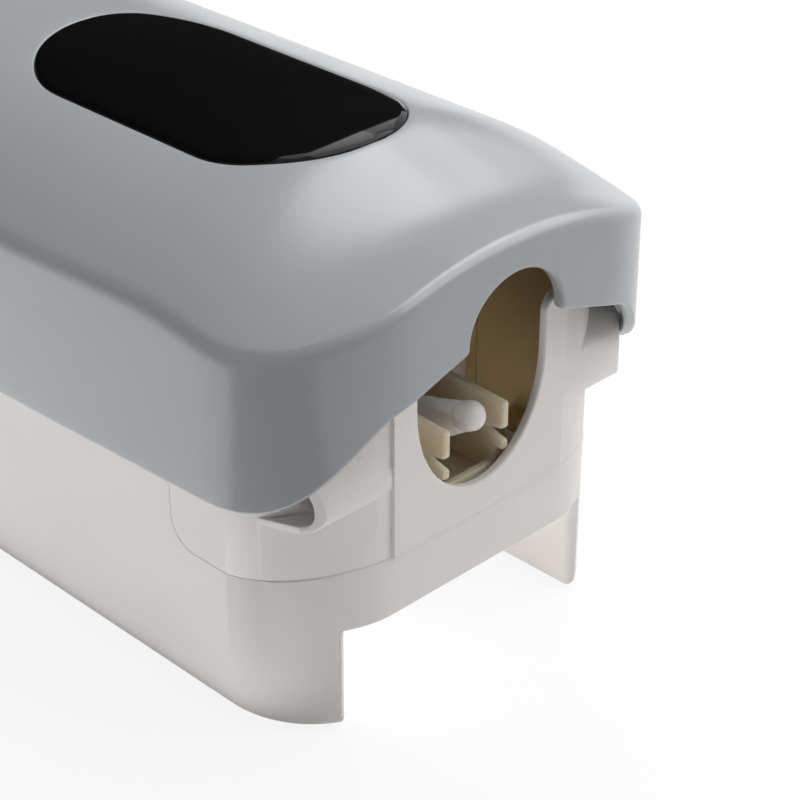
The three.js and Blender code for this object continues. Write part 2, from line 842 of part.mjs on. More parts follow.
// A helix of round wire about the barrel's axis, between the barrel's end and the piston
function pumpSpring() {
  const sides = 5;
  const stepsPerTurn = 8;
  const coilRadius = pistonRadius - fitGap - 2 * springWire;
  const start = barrelRearDepth + barrelEndWall + fitGap + springWire;
  const end = pistonRearDepth - fitGap - springWire;
  const steps = springTurns * stepsPerTurn;
  const centre = (i) => {
    const angle = (2 * Math.PI * i) / stepsPerTurn;
    const depth = start + ((end - start) * i) / steps;
    const x = coilRadius * Math.cos(angle);
    return new THREE.Vector3(x, -depth, barrelHeight + coilRadius * Math.sin(angle));
  };
  const rings = Array.from({ length: steps + 1 }, (_, i) => {
    const middle = centre(i);
    const outward = new THREE.Vector3(middle.x, 0, middle.z - barrelHeight).normalize();
    return Array.from({ length: sides }, (_unused, k) => {
      const angle = (2 * Math.PI * k) / sides;
      const side = outward.clone().multiplyScalar(springWire * Math.cos(angle));
      return middle.clone().add(side).addScaledVector(unitY, springWire * Math.sin(angle));
    });
  });
  return loft(rings, centre(0), centre(steps));
}

function inletBall() {
  const geometry = new THREE.SphereGeometry(inletBallRadius, 12, 8);
  geometry.translate(0, -neckDepth, shelfTop);
  return asSolid(geometry);
}

function outletNozzle() {
  const from = valveLength + fitGap;
  const tube = nozzleRound(nozzleRadius, from, nozzleRoot);
  return tilted(cut(tube, nozzleRound(nozzleBore, from - past, nozzleRoot + past)));
}

// The soft tip: a round nose with a stem that sits in the nozzle's bore
function nozzleValve() {
  const noseSteps = 6;
  const stemTop = valveLength + nozzleSocket;
  const stem = nozzleBore - fitGap;
  const nose = arc(0, nozzleRadius, nozzleRadius, nozzleRadius, -Math.PI / 2, 0, noseSteps);
  const profile = [
    ...nose,
    new THREE.Vector2(nozzleRadius, valveLength),
    new THREE.Vector2(stem, valveLength),
    new THREE.Vector2(stem, stemTop),
    new THREE.Vector2(0, stemTop),
  ];
  profile[0].x = 0;
  const geometry = new THREE.LatheGeometry(profile, 20);
  geometry.rotateX(Math.PI / 2);
  return tilted(asSolid(geometry));
}

// A cheek beside the nozzle, as (y, z): it stands on the chassis's floor behind the opening and
// reaches out over the opening, with a notch between its heel and its toe
function cheekOutline() {
  const floor = bodyInset + bodyWall + fitGap;
  const toe = bodyInset + panelRise;
  const rear = -cradleRearDepth;
  const front = -cradleFrontDepth;
  const across = (cradleHalfGap + cradleWall) / openingHalfWidth;
  const edge = openingEndDepth + openingRoundLength * (1 - Math.sqrt(1 - across ** 2));
  const lip = -edge - runGap;
  return [
    new THREE.Vector2(rear, floor),
    new THREE.Vector2(lip, floor),
    new THREE.Vector2(lip, toe),
    new THREE.Vector2(lip - cradleFoot, toe),
    new THREE.Vector2(lip - cradleFoot - notchWidth / 2, toe + notchHeight),
    new THREE.Vector2(lip - cradleFoot - notchWidth, toe),
    new THREE.Vector2(front, toe),
    new THREE.Vector2(front - cradleFoot / 2, cradleTop),
    new THREE.Vector2(rear, cradleTop),
  ];
}

function pumpCradle() {
  const outer = cradleHalfGap + cradleWall;
  const cheek = prism("x", cheekOutline(), cradleHalfGap, outer);
  const floor = bodyInset + bodyWall + fitGap;
  const foot = box(
    -outer,
    -openingEndDepth,
    floor,
    outer,
    -cradleRearDepth,
    floor + cradleFoot,
  );
  const webTop = barrelHeight - barrelRadius - fitGap;
  const web = box(-outer, -cradleRearDepth - cradleWall, floor, outer, -cradleRearDepth, webTop);
  return join(cheek, mirrored(cheek), foot, web);
}

// Lock in the cover's top, and the plate on the body that its cam turns behind
const catchBottom = bodyTop + fitGap;
const catchTop = catchBottom + catchThickness;
const camBottom = catchTop + runGap;
const nutBottom = coverHeight - coverWall - fitGap - lockNutHeight;

function lockRound(radius, from, to) {
  return prism("z", circle(0, -lockDepth, radius), from, to);
}

function lockBarrel() {
  const top = coverHeight + lockProud;
  const body = lockRound(lockRadius, camBottom + camThickness + fitGap, top);
  const spigot = lockRound(camSpigotRadius, camBottom, coverHeight - coverWall);
  const keySlot = box(
    -keySlotLength / 2,
    -lockDepth - keySlotWidth / 2,
    top - keySlotDepth,
    keySlotLength / 2,
    -lockDepth + keySlotWidth / 2,
    top + past,
  );
  return cut(join(body, spigot), keySlot);
}

function lockNut() {
  const ring = lockRound(lockNutRadius, nutBottom, nutBottom + lockNutHeight);
  return cut(ring, lockRound(lockRadius + fitGap, nutBottom - past, coverHeight));
}

function lockCam() {
  const top = camBottom + camThickness;
  const hub = lockRound(camHubRadius, camBottom, top);
  const tongue = box(
    -camWidth / 2,
    -lockDepth,
    camBottom,
    camWidth / 2,
    -lockDepth + camReach,
    top,
  );
  return cut(join(hub, tongue), lockRound(camSpigotRadius + fitGap, camBottom - past, top + past));
}

function lockCatch() {
  const tabRear = -lockDepth - camWidth / 2 - runGap;
  const tabFront = tabRear - catchTabThickness;
  const tabLeft = lockNutRadius + runGap;
  const half = catchWidth / 2;
  const plate = box(-half, tabFront, catchBottom, half, -catchRearDepth, catchTop);
  const tab = box(
    tabLeft,
    tabFront,
    catchBottom,
    tabLeft + catchTabWidth,
    tabRear,
    catchTop + catchTabHeight,
  );
  const hole = catchScrewHole(catchBottom - fitGap, catchTop + fitGap);
  return cut(join(plate, tab), hole, mirrored(hole));
}

const catchScrewY = -catchRearDepth - screwHeadRadius - fitGap;

function catchScrewHole(from, to) {
  return prism("z", circle(catchScrewSpacing / 2, catchScrewY, screwRadius + fitGap, 12), from, to);
}

function catchScrew() {
  return screw("z", catchScrewSpacing / 2, catchScrewY, catchTop + fitGap, -1);
}

// Materials and assembly

function material(color, roughness, metalness = 0) {
  return new THREE.MeshStandardMaterial({ color, roughness, metalness });
}

const coverPlastic = material(0xc9cccf, 0.25);
const bodyPlastic = material(0xe6e2dd, 0.45);
const darkLens = material(0x0c0c0d, 0.08);
const pumpPlastic = material(0xe9e5da, 0.4);
const clearPlastic = material(0xdfe6e4, 0.2);
const softRubber = material(0x3a3a3c, 0.8);
const softTip = material(0xefece8, 0.5);
const steel = material(0xb9bcc0, 0.3, 1);

const dispenser = new THREE.Group();
dispenser.position.z = -coverHeight / 2;

function place(name, solid, finish) {
  const mesh = new THREE.Mesh(asGeometry(solid), finish);
  mesh.name = name;
  dispenser.add(mesh);
}

function placePair(name, solid, finish) {
  place(`${name}_right`, solid, finish);
  place(`${name}_left`, mirrored(solid), finish);
}

place("front_cover", frontCover(), coverPlastic);
place("window_lens", windowLens(), darkLens);
place("push_pad", pushPad(), softRubber);
placePair("hinge_pin", hingePin(), steel);
place("rear_housing", rearHousing(), bodyPlastic);
place("chassis", chassis(), bodyPlastic);
placePair("chassis_screw", chassisScrew(), steel);
place("pump_shelf", pumpShelf(), bodyPlastic);
place("refill_bottle", refillBottle(), clearPlastic);
place("bottle_collar", bottleCollar(), pumpPlastic);
place("collar_gasket", collarGasket(), softRubber);
place("pump_body", pumpBody(), pumpPlastic);
place("barrel_cap", barrelCap(), pumpPlastic);
place("pump_piston", pumpPiston(), pumpPlastic);
place("piston_seal", pistonSeal(), softRubber);
place("pump_button", pumpButton(), pumpPlastic);
place("pump_spring", pumpSpring(), steel);
place("inlet_ball", inletBall(), steel);
place("outlet_nozzle", outletNozzle(), pumpPlastic);
place("nozzle_valve", nozzleValve(), softTip);
place("pump_cradle", pumpCradle(), bodyPlastic);
place("lock_barrel", lockBarrel(), steel);
place("lock_nut", lockNut(), steel);
place("lock_cam", lockCam(), steel);
place("lock_catch", lockCatch(), steel);
placePair("catch_screw", catchScrew(), steel);

export default dispenser;
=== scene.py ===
import math

import bmesh
import bpy
from mathutils import Matrix, Vector


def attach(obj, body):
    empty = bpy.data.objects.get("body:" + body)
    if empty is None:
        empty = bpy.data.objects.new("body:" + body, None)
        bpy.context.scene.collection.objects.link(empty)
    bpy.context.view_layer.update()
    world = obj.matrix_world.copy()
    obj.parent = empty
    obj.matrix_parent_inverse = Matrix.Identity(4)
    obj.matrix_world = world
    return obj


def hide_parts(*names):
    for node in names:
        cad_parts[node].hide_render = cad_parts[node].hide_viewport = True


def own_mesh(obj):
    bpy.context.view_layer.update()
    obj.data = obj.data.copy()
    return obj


# Looks of the wall-mounted soap dispenser. Forms are drawn in millimetres as in the part's source,
# with Z = 0 at the cover's lowest edge and depths measured from the wall along -Y, and are then
# scaled and lowered into the shared frame.

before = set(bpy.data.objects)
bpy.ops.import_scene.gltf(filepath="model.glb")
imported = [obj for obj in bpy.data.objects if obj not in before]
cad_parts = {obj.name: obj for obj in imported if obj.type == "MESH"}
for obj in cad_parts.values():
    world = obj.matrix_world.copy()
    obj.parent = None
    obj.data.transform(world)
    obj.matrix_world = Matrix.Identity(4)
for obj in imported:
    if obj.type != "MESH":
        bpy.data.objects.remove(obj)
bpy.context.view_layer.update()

# Sizes repeated from the part's source
COVER_HEIGHT = 235
COVER_HALF = 58
COVER_WALL = 2.6
COVER_CORNER = 30
SIDE_BOW = 2.7
SIDE_BOW_RUN = 110
SIDE_RISE = 4.8
SIDE_RISE_START = 12
SIDE_RISE_RUN = 40
FACE_CROWN = 19.2
END_CROWN = 16.4
FACE_EDGE_DEPTH = 87.2
FACE_FILLET = 2.5
INNER_FILLET = 0.6
SIDE_EDGE_DEPTH = 55.6
BOTTOM_EDGE_DEPTH = 87.3
BOTTOM_EDGE_SLOPE = 0.32
CORNER_DROP_START = 31.4
ARCH_HALF_WIDTH = 13
ARCH_DEPTH = 96
ARCH_FOOT_FILLET = 1.5
WINDOW_HALF = 25.3
WINDOW_BOTTOM = 41.3
WINDOW_TOP = 133.3
WINDOW_CORNER = 23.9
WINDOW_PROUD = 0.5
WINDOW_FLANGE = 3.5
WINDOW_FLANGE_THICKNESS = 1.6
BODY_HALF = 47.85
BODY_BOTTOM = 9.4
BODY_TOP = 225.6
BODY_CORNER = 23.8
BODY_WALL = 2.5
BACK_PLATE = 3
HOUSING_DEPTH = 66
CHASSIS_DEPTH = 80
CHASSIS_HEIGHT = 50
PARTING_DEPTH = 38
SIDE_PARTING_DEPTH = 33.5
PARTING_CORNER = 7
RECESS_HALF = 34
RECESS_DEPTH = 23.7
RECESS_HEIGHT = 60
PIN_DEPTH = 60
PIN_HEIGHT = 15.3
LUG_RADIUS = 3.2
LUG_INNER, LUG_OUTER = 46.9, 51
PIN_BORE = 1.9
PIN_SLOT, PIN_TRAVEL = 2.1, 4.4
BARREL_HEIGHT = 35
PAD_DEPTH = 76.9
SCREW_SPAN, SCREW_HEIGHT, SCREW_HOLE = 31, 34, 1.8
CATCH_SCREW_SPAN, CATCH_SCREW_DEPTH = 9, 48.1
KEYHOLE_SPAN, KEYHOLE_HEIGHTS = 25, (95, 185)
KEYHOLE_RADIUS, KEYHOLE_SLOT, KEYHOLE_TRAVEL = 5, 2.4, 9
SHELF_REAR, SHELF_FRONT = 26.5, 63.5
RAIL_REACH, RAIL_LOW, RAIL_HIGH = 2.6, 50.7, 53.7
SPIGOT_GAP, SPIGOT_REAR, SPIGOT_FRONT = 0.3, 26.5, 40.8
PANEL_HALF, PANEL_BOTTOM = 25, 8.7

# Sizes of the looks alone
SEAM = 0.1  # gap that shows at a line between two seated pieces
HAIR = 0.005  # keeps the skin inside the box of the part's own faceted form
FAR, WIDE = 160, 100  # beyond every piece, for cuts and rooms
FLAT_AREA = 600  # mm2, more than any strip of a round has
FLAT_COSINE = math.cos(math.radians(0.5))


def ease(t):
    s = min(max(t, 0), 1)
    return s * s * (3 - 2 * s)


# Outlines, as lists of (u, v)


def arc(u, v, radius_u, radius_v, start, end, steps):
    angles = [math.radians(start + (end - start) * i / steps) for i in range(steps + 1)]
    return [(u + radius_u * math.cos(a), v + radius_v * math.sin(a)) for a in angles]


def circle(u, v, radius, sides=48):
    return arc(u, v, radius, radius, 0, 360, sides)[:-1]


def rounded_rectangle(left, bottom, right, top, radius, steps=14):
    return [
        *arc(left + radius, bottom + radius, radius, radius, 180, 270, steps),
        *arc(right - radius, bottom + radius, radius, radius, 270, 360, steps),
        *arc(right - radius, top - radius, radius, radius, 0, 90, steps),
        *arc(left + radius, top - radius, radius, radius, 90, 180, steps),
    ]


def rectangle(left, bottom, right, top):
    return [(left, bottom), (right, bottom), (right, top), (left, top)]


def resampled(points, count):
    """Points at equal steps along an open line."""
    lengths = [0]
    for a, b in zip(points, points[1:]):
        lengths.append(lengths[-1] + math.dist(a, b))
    result = []
    leg = 0
    for i in range(count):
        at = lengths[-1] * i / (count - 1)
        while leg < len(points) - 2 and lengths[leg + 1] < at:
            leg += 1
        share = (at - lengths[leg]) / max(lengths[leg + 1] - lengths[leg], 1e-9)
        a, b = points[leg], points[leg + 1]
        result.append(tuple(p + (q - p) * share for p, q in zip(a, b)))
    return result


# Meshes and solids


def mesh_of(name, points, faces):
    mesh = bpy.data.meshes.new(name)
    mesh.from_pydata([tuple(p) for p in points], [], faces)
    return mesh


def lofted(name, rows, closed=False, first=None, last=None):
    """A skin over rows of equal length: closed into a torus, or ended in a fan at a point."""
    count = len(rows[0])
    points = [p for row in rows for p in row]
    faces = []
    for row in range(len(rows) if closed else len(rows) - 1):
        near, far = row * count, (row + 1) % len(rows) * count
        for i in range(count):
            j = (i + 1) % count
            faces.append((near + i, near + j, far + j, far + i))
    for point, base, turn in ((first, 0, 1), (last, (len(rows) - 1) * count, -1)):
        if point is not None:
            tip = len(points)
            points.append(point)
            ring = [(base + (i + 1) % count, base + i, tip)[::turn] for i in range(count)]
            faces.extend(ring)
    return mesh_of(name, points, faces)


def outward(mesh):
    bm = bmesh.new()
    bm.from_mesh(mesh)
    bmesh.ops.recalc_face_normals(bm, faces=bm.faces)
    bm.to_mesh(mesh)
    bm.free()
    return mesh


PLACES = {
    "x": lambda u, v, w: (w, u, v),
    "y": lambda u, v, w: (u, w, v),
    "z": lambda u, v, w: (u, v, w),
}


def stacked(axis, levels):
    """A solid through outlines of equal length, each at its own place along the axis.

    Along X an outline is (y, z), along Y (x, z) and along Z (x, y).
    """
    place = PLACES[axis]
    count = len(levels[0][0])
    points = [place(u, v, w) for outline, w in levels for u, v in outline]
    faces = [tuple(range(count)), tuple(range(len(points) - count, len(points)))]
    for row in range(len(levels) - 1):
        near, far = row * count, (row + 1) * count
        for i in range(count):
            j = (i + 1) % count
            faces.append((near + i, near + j, far + j, far + i))
    return solid(outward(mesh_of("solid", points, faces)))


def prism(axis, outline, low, high):
    return stacked(axis, [(outline, low), (outline, high)])


def solid(mesh):
    obj = bpy.data.objects.new(mesh.name, mesh)
    bpy.context.collection.objects.link(obj)
    return obj


def block(x0, y0, z0, x1, y1, z1):
    return prism("z", rectangle(x0, y0, x1, y1), z0, z1)


def combine(base, operation, tools):
    for tool in tools:
        modifier = base.modifiers.new("step", "BOOLEAN")
        modifier.operation = operation
        modifier.solver = "MANIFOLD"
        modifier.object = tool
    graph = bpy.context.evaluated_depsgraph_get()
    result = solid(bpy.data.meshes.new_from_object(base.evaluated_get(graph)))
    for used in (base, *tools):
        bpy.data.objects.remove(used)
    return result


def join(base, *tools):
    return combine(base, "UNION", tools)


def cut(base, *tools):
    return combine(base, "DIFFERENCE", tools)


def common(base, *tools):
    return combine(base, "INTERSECT", tools)


def mirrored(obj):
    mesh = obj.data.copy()
    mesh.transform(Matrix.Scale(-1, 4, (1, 0, 0)))
    mesh.flip_normals()
    return solid(mesh)


def both(obj):
    return obj, mirrored(obj)


def softened(mesh, width, segments=2, sharp=32, wide=(), where=lambda *ends: True):
    """Merges flat faces and rounds the sharp outer edges, some by a radius of their own."""
    bm = bmesh.new()
    bm.from_mesh(mesh)
    bmesh.ops.remove_doubles(bm, verts=bm.verts, dist=width / 20)
    bmesh.ops.dissolve_degenerate(bm, edges=bm.edges, dist=width / 20)
    bmesh.ops.dissolve_limit(
        bm, angle_limit=math.radians(0.6), verts=bm.verts, edges=bm.edges, delimit=set()
    )
    limit = math.radians(sharp)

    def sharp_edges(chosen):
        return [
            e for e in bm.edges
            if e.is_manifold and e.is_convex and e.calc_face_angle(0) > limit
            and chosen(*e.verts[0].co, *e.verts[1].co)
        ]

    for radius, steps, chosen in (*wide, (width, segments, where)):
        bmesh.ops.bevel(
            bm, geom=sharp_edges(chosen), offset=radius, offset_type="OFFSET", segments=steps,
            profile=0.5, affect="EDGES", clamp_overlap=False,
        )
    bm.to_mesh(mesh)
    bm.free()
    return mesh


def smooth(mesh, angle):
    mesh.shade_smooth()
    mesh.set_sharp_from_angle(angle=math.radians(angle))
    return mesh


def level_flats(mesh):
    """Turns smooth shading off on large flat stretches, so that rounds don't tint them."""
    bm = bmesh.new()
    bm.from_mesh(mesh)
    seen = set()
    for first in bm.faces:
        stretch, open_faces = [], [first]
        while open_faces:
            face = open_faces.pop()
            if face in seen or face.normal.dot(first.normal) < FLAT_COSINE:
                continue
            seen.add(face)
            stretch.append(face)
            open_faces += [other for edge in face.edges for other in edge.link_faces]
        if sum(face.calc_area() for face in stretch) > FLAT_AREA:
            for face in stretch:
                face.smooth = False
    bm.to_mesh(mesh)
    bm.free()


# Materials


class Nodes:
    """A material under construction, with a short way to add and link nodes."""

    def __init__(self, name):
        self.material = bpy.data.materials.new(name)
        self.material.use_nodes = True
        self.tree = self.material.node_tree
        self.shader = self.tree.nodes["Principled BSDF"]
        self.place = self.add("ShaderNodeTexCoord").outputs["Object"]

    def add(self, kind, inputs=None, **settings):
        node = self.tree.nodes.new(kind)
        for key, value in settings.items():
            setattr(node, key, value)
        for key, value in (inputs or {}).items():
            if isinstance(value, bpy.types.NodeSocket):
                self.tree.links.new(value, node.inputs[key])
            else:
                node.inputs[key].default_value = value
        return node

    def noise(self, scale, detail=3.0, roughness=0.5, stretch=None):
        place = self.place
        if stretch:
            mapping = self.add("ShaderNodeMapping", {"Vector": place, "Scale": stretch})
            place = mapping.outputs["Vector"]
        inputs = {"Vector": place, "Scale": scale, "Detail": detail, "Roughness": roughness}
        return self.add("ShaderNodeTexNoise", inputs).outputs["Fac"]

    def span(self, value, low, high, start=0.3, end=0.7):
        """Maps a texture's usual range onto another range."""
        inputs = {
            "Value": value, "From Min": start, "From Max": end, "To Min": low, "To Max": high,
        }
        return self.add("ShaderNodeMapRange", inputs).outputs["Result"]

    def mixed(self, factor, one, two):
        inputs = {0: factor, 6: one, 7: two}  # the sockets that a mix of colours uses
        return self.add("ShaderNodeMix", inputs, data_type="RGBA").outputs[2]

    def maths(self, operation, one, two):
        return self.add("ShaderNodeMath", {0: one, 1: two}, operation=operation).outputs[0]

    def specks(self, scale, size, share):
        """1 in a small round spot of some cells and 0 elsewhere."""
        cells = self.add("ShaderNodeTexVoronoi", {"Vector": self.place, "Scale": scale})
        chosen = self.add("ShaderNodeSeparateColor", {"Color": cells.outputs["Color"]})
        near = self.maths("LESS_THAN", cells.outputs["Distance"], size)
        some = self.maths("LESS_THAN", chosen.outputs["Red"], share)
        return self.maths("MULTIPLY", near, some)

    def set(self, **values):
        for key, value in values.items():
            socket = self.shader.inputs[key.replace("_", " ")]
            if isinstance(value, bpy.types.NodeSocket):
                self.tree.links.new(value, socket)
            else:
                socket.default_value = value

    def bump(self, height, strength, distance):
        inputs = {"Height": height, "Strength": strength, "Distance": distance}
        self.set(Normal=self.add("ShaderNodeBump", inputs).outputs["Normal"])


def srgb(red, green, blue):
    def linear(c):
        c /= 255
        return c / 12.92 if c <= 0.04045 else ((c + 0.055) / 1.055) ** 2.4

    return (linear(red), linear(green), linear(blue), 1)


DUST = srgb(70, 66, 60)


def plastic(
    name, colour, shade, roughness, spread, grain, grain_depth, speck=None, level=0.5, through=0.0
):
    """Moulded plastic: a slow drift of tone, a fine moulded grain and, where asked, dust specks.

    The last value is how far light goes through it, in metres.
    """
    nodes = Nodes(name)
    drift = nodes.span(nodes.noise(14, 4, 0.55), 0, 1)
    tone = nodes.mixed(drift, colour, shade)
    if speck:
        tone = nodes.mixed(nodes.specks(*speck), tone, DUST)
    rough = nodes.span(nodes.noise(55, 3), roughness - spread, roughness + spread)
    nodes.set(Base_Color=tone, Roughness=rough, Specular_IOR_Level=level)
    if through:
        nodes.set(
            Subsurface_Weight=1.0, Subsurface_Radius=(1.0, 0.95, 0.85), Subsurface_Scale=through
        )
    nodes.bump(nodes.noise(grain, 2), 0.25, grain_depth)
    return nodes.material


def metal(name, colour, roughness, stretch):
    """Satin steel with fine drawn lines along one way."""
    nodes = Nodes(name)
    lines = nodes.noise(900, 4, 0.6, stretch)
    tone = nodes.mixed(nodes.span(lines, 0, 1), colour, tuple(c * 0.8 for c in colour[:3]) + (1,))
    rough = nodes.span(lines, roughness - 0.06, roughness + 0.08)
    nodes.set(Base_Color=tone, Roughness=rough, Metallic=1.0)
    nodes.bump(lines, 0.2, 0.00002)
    return nodes.material


def milky(name):
    """Translucent refill plastic with the soap's level of cloudiness in it."""
    nodes = Nodes(name)
    cloud = nodes.span(nodes.noise(30, 4), 0, 1)
    tone = nodes.mixed(cloud, srgb(222, 228, 226), srgb(205, 214, 212))
    rough = nodes.span(nodes.noise(70, 2), 0.16, 0.25)
    nodes.set(
        Base_Color=tone, Roughness=rough, Subsurface_Weight=0.35, Subsurface_Scale=0.012,
        Transmission_Weight=0.15, IOR=1.48,
    )
    nodes.bump(nodes.noise(260, 2), 0.1, 0.00005)
    return nodes.material


cover_plastic = plastic(
    "cover_plastic", srgb(166, 170, 173), srgb(162, 166, 169), 0.23, 0.03, 900, 0.00003,
    (110, 0.035, 0.04), 0.5,
)
dark_lens = plastic(
    "dark_lens", srgb(12, 12, 12), srgb(16, 16, 17), 0.07, 0.02, 500, 0.00001, None, 0.14,
)
body_plastic = plastic(
    "body_plastic", srgb(234, 230, 227), srgb(230, 226, 222), 0.42, 0.05, 1100, 0.00004,
    (90, 0.03, 0.03), 0.4,
)
# Painted shade: the body's inside is the same white plastic, painted tan for the warm shade deep
# inside it
inner_painted_shade = plastic(
    "inner_painted_shade", srgb(180, 156, 112), srgb(172, 147, 104), 0.55, 0.05, 900, 0.00004,
    None, 0.3, 0.006,
)
pump_plastic = plastic(
    "pump_plastic", srgb(232, 225, 210), srgb(226, 218, 201), 0.4, 0.05, 900, 0.00004,
    None, 0.4, 0.006,
)
# Painted shade: the cradle is white body plastic, painted tan for the warm shade it sits in
cradle_painted_shade = plastic(
    "cradle_painted_shade", srgb(208, 196, 172), srgb(201, 188, 164), 0.45, 0.05, 900, 0.00004,
    None, 0.4, 0.006,
)
tip_plastic = plastic(
    "tip_plastic", srgb(236, 232, 230), srgb(229, 224, 221), 0.45, 0.05, 900, 0.00004,
)
rubber = plastic(
    "soft_rubber", srgb(58, 58, 60), srgb(48, 48, 50), 0.75, 0.06, 1300, 0.00006, None, 0.3,
)
steel = metal("steel", srgb(196, 198, 202), 0.36, (1, 0.05, 1))
bottle_plastic = milky("bottle_plastic")


# Pieces


def place(name, mesh, body, slot, materials, nodes=()):
    """Brings a mesh drawn in millimetres into the frame, as a piece that rides on a body."""
    lower = Matrix.Translation((0, 0, -COVER_HEIGHT / 2))
    mesh.transform(Matrix.Scale(0.001, 4) @ lower)
    mesh.materials.clear()
    for material in materials:
        mesh.materials.append(material)
    piece = bpy.data.objects.new(name, mesh)
    mesh.name = name
    bpy.context.collection.objects.link(piece)
    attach(piece, body)
    if nodes:
        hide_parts(*nodes)
    return piece


def taken(obj):
    """The mesh of a solid, which is then removed."""
    mesh = obj.data
    bpy.data.objects.remove(obj)
    return mesh


def dressed(node, body, slot, material, width=0.3):
    """A copy of a node's form with rounded edges and smooth round faces."""
    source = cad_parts[node]
    mesh = source.data.copy()
    lift = Matrix.Translation((0, 0, COVER_HEIGHT / 2))
    mesh.transform(lift @ Matrix.Scale(1000, 4) @ source.matrix_world)
    softened(mesh, width, 2, 40)
    smooth(mesh, 40)
    level_flats(mesh)
    place(node + "_form", mesh, body, slot, [material], [node])


# Cover


def face_depth(x, z):
    from_end = min(z, COVER_HEIGHT - z)
    along = ease((from_end - SIDE_RISE_START) / SIDE_RISE_RUN)
    crown = END_CROWN + (FACE_CROWN - END_CROWN) * along
    return FACE_EDGE_DEPTH + SIDE_RISE * along + crown * (1 - (x / COVER_HALF) ** 2)


def rear_edge_depth(x, z):
    if z > COVER_HEIGHT / 2:
        return SIDE_EDGE_DEPTH
    reach = COVER_HALF - SIDE_BOW
    line = BOTTOM_EDGE_DEPTH - BOTTOM_EDGE_SLOPE * abs(x)
    drop = BOTTOM_EDGE_DEPTH - BOTTOM_EDGE_SLOPE * reach - SIDE_EDGE_DEPTH
    return line - drop * ease((abs(x) - CORNER_DROP_START) / (reach - CORNER_DROP_START))


def side_scale(z):
    from_end = min(z, COVER_HEIGHT - z)
    return 1 - SIDE_BOW / COVER_HALF * (1 - ease(from_end / SIDE_BOW_RUN))


def arch_edge(count):
    """The cover's bottom rear edge between its corners, with the arch, as (x, depth)."""
    foot = ARCH_HALF_WIDTH + ARCH_FOOT_FILLET
    spring = rear_edge_depth(foot, 0) + ARCH_FOOT_FILLET
    end = (COVER_HALF - COVER_CORNER) * side_scale(0)
    turn = arc(-foot, spring, ARCH_FOOT_FILLET, ARCH_FOOT_FILLET, -90, 0, 10)
    rise = arc(0, spring, ARCH_HALF_WIDTH, ARCH_DEPTH - spring, 180, 90, 60)
    left = [(-end, rear_edge_depth(end, 0)), *turn, *rise[1:]]
    return resampled([*left, *[(-x, d) for x, d in reversed(left[:-1])]], count)


def cover_columns():
    """Anchors, outward ways and rear edge depths of points around the cover's outline."""
    inner = COVER_HALF - COVER_CORNER
    low, high = COVER_CORNER, COVER_HEIGHT - COVER_CORNER
    columns = []

    def corner(x, z, start):
        for u, v in arc(0, 0, 1, 1, start, start + 90, 24)[1:-1]:
            columns.append((x, z, u, v, None))

    def straight(a, b, way, steps):
        for i in range(steps + 1):
            t = i / steps
            columns.append((a[0] + (b[0] - a[0]) * t, a[1] + (b[1] - a[1]) * t, *way, None))

    corner(-inner, low, 180)
    for x, depth in arch_edge(121):
        columns.append((x / side_scale(0), low, 0, -1, depth))
    corner(inner, low, 270)
    straight((inner, low), (inner, high), (1, 0), 40)
    corner(inner, high, 0)
    straight((inner, high), (-inner, high), (0, 1), 40)
    corner(-inner, high, 90)
    straight((-inner, high), (-inner, low), (-1, 0), 40)
    return columns


def outline_at(column, inset):
    x, z, u, v, _ = column
    reach = COVER_CORNER - inset - HAIR
    height = z + v * reach
    return (x + u * reach) * side_scale(height), height


def window_outline(grow):
    half = WINDOW_HALF + grow
    return rounded_rectangle(
        -half, WINDOW_BOTTOM - grow, half, WINDOW_TOP + grow, WINDOW_CORNER + grow, 60
    )


WINDOW_MIDDLE = (WINDOW_BOTTOM + WINDOW_TOP) / 2


def bearing(x, z):
    return math.atan2(z - WINDOW_MIDDLE, x) % (2 * math.pi)


def window_points(bearings, grow):
    """Points of the window's outline in the given bearings from its middle."""
    ring = sorted((bearing(x, z), x, z) for x, z in window_outline(grow))
    (first, *start), (last, *end) = ring[0], ring[-1]
    ring = [(last - 2 * math.pi, *end), *ring, (first + 2 * math.pi, *start)]
    points = []
    for angle in bearings:
        k = next(i for i in range(len(ring) - 1) if ring[i + 1][0] >= angle)
        a, b = ring[k], ring[k + 1]
        share = (angle - a[0]) / max(b[0] - a[0], 1e-9)
        points.append((a[1] + (b[1] - a[1]) * share, a[2] + (b[2] - a[2]) * share))
    return points


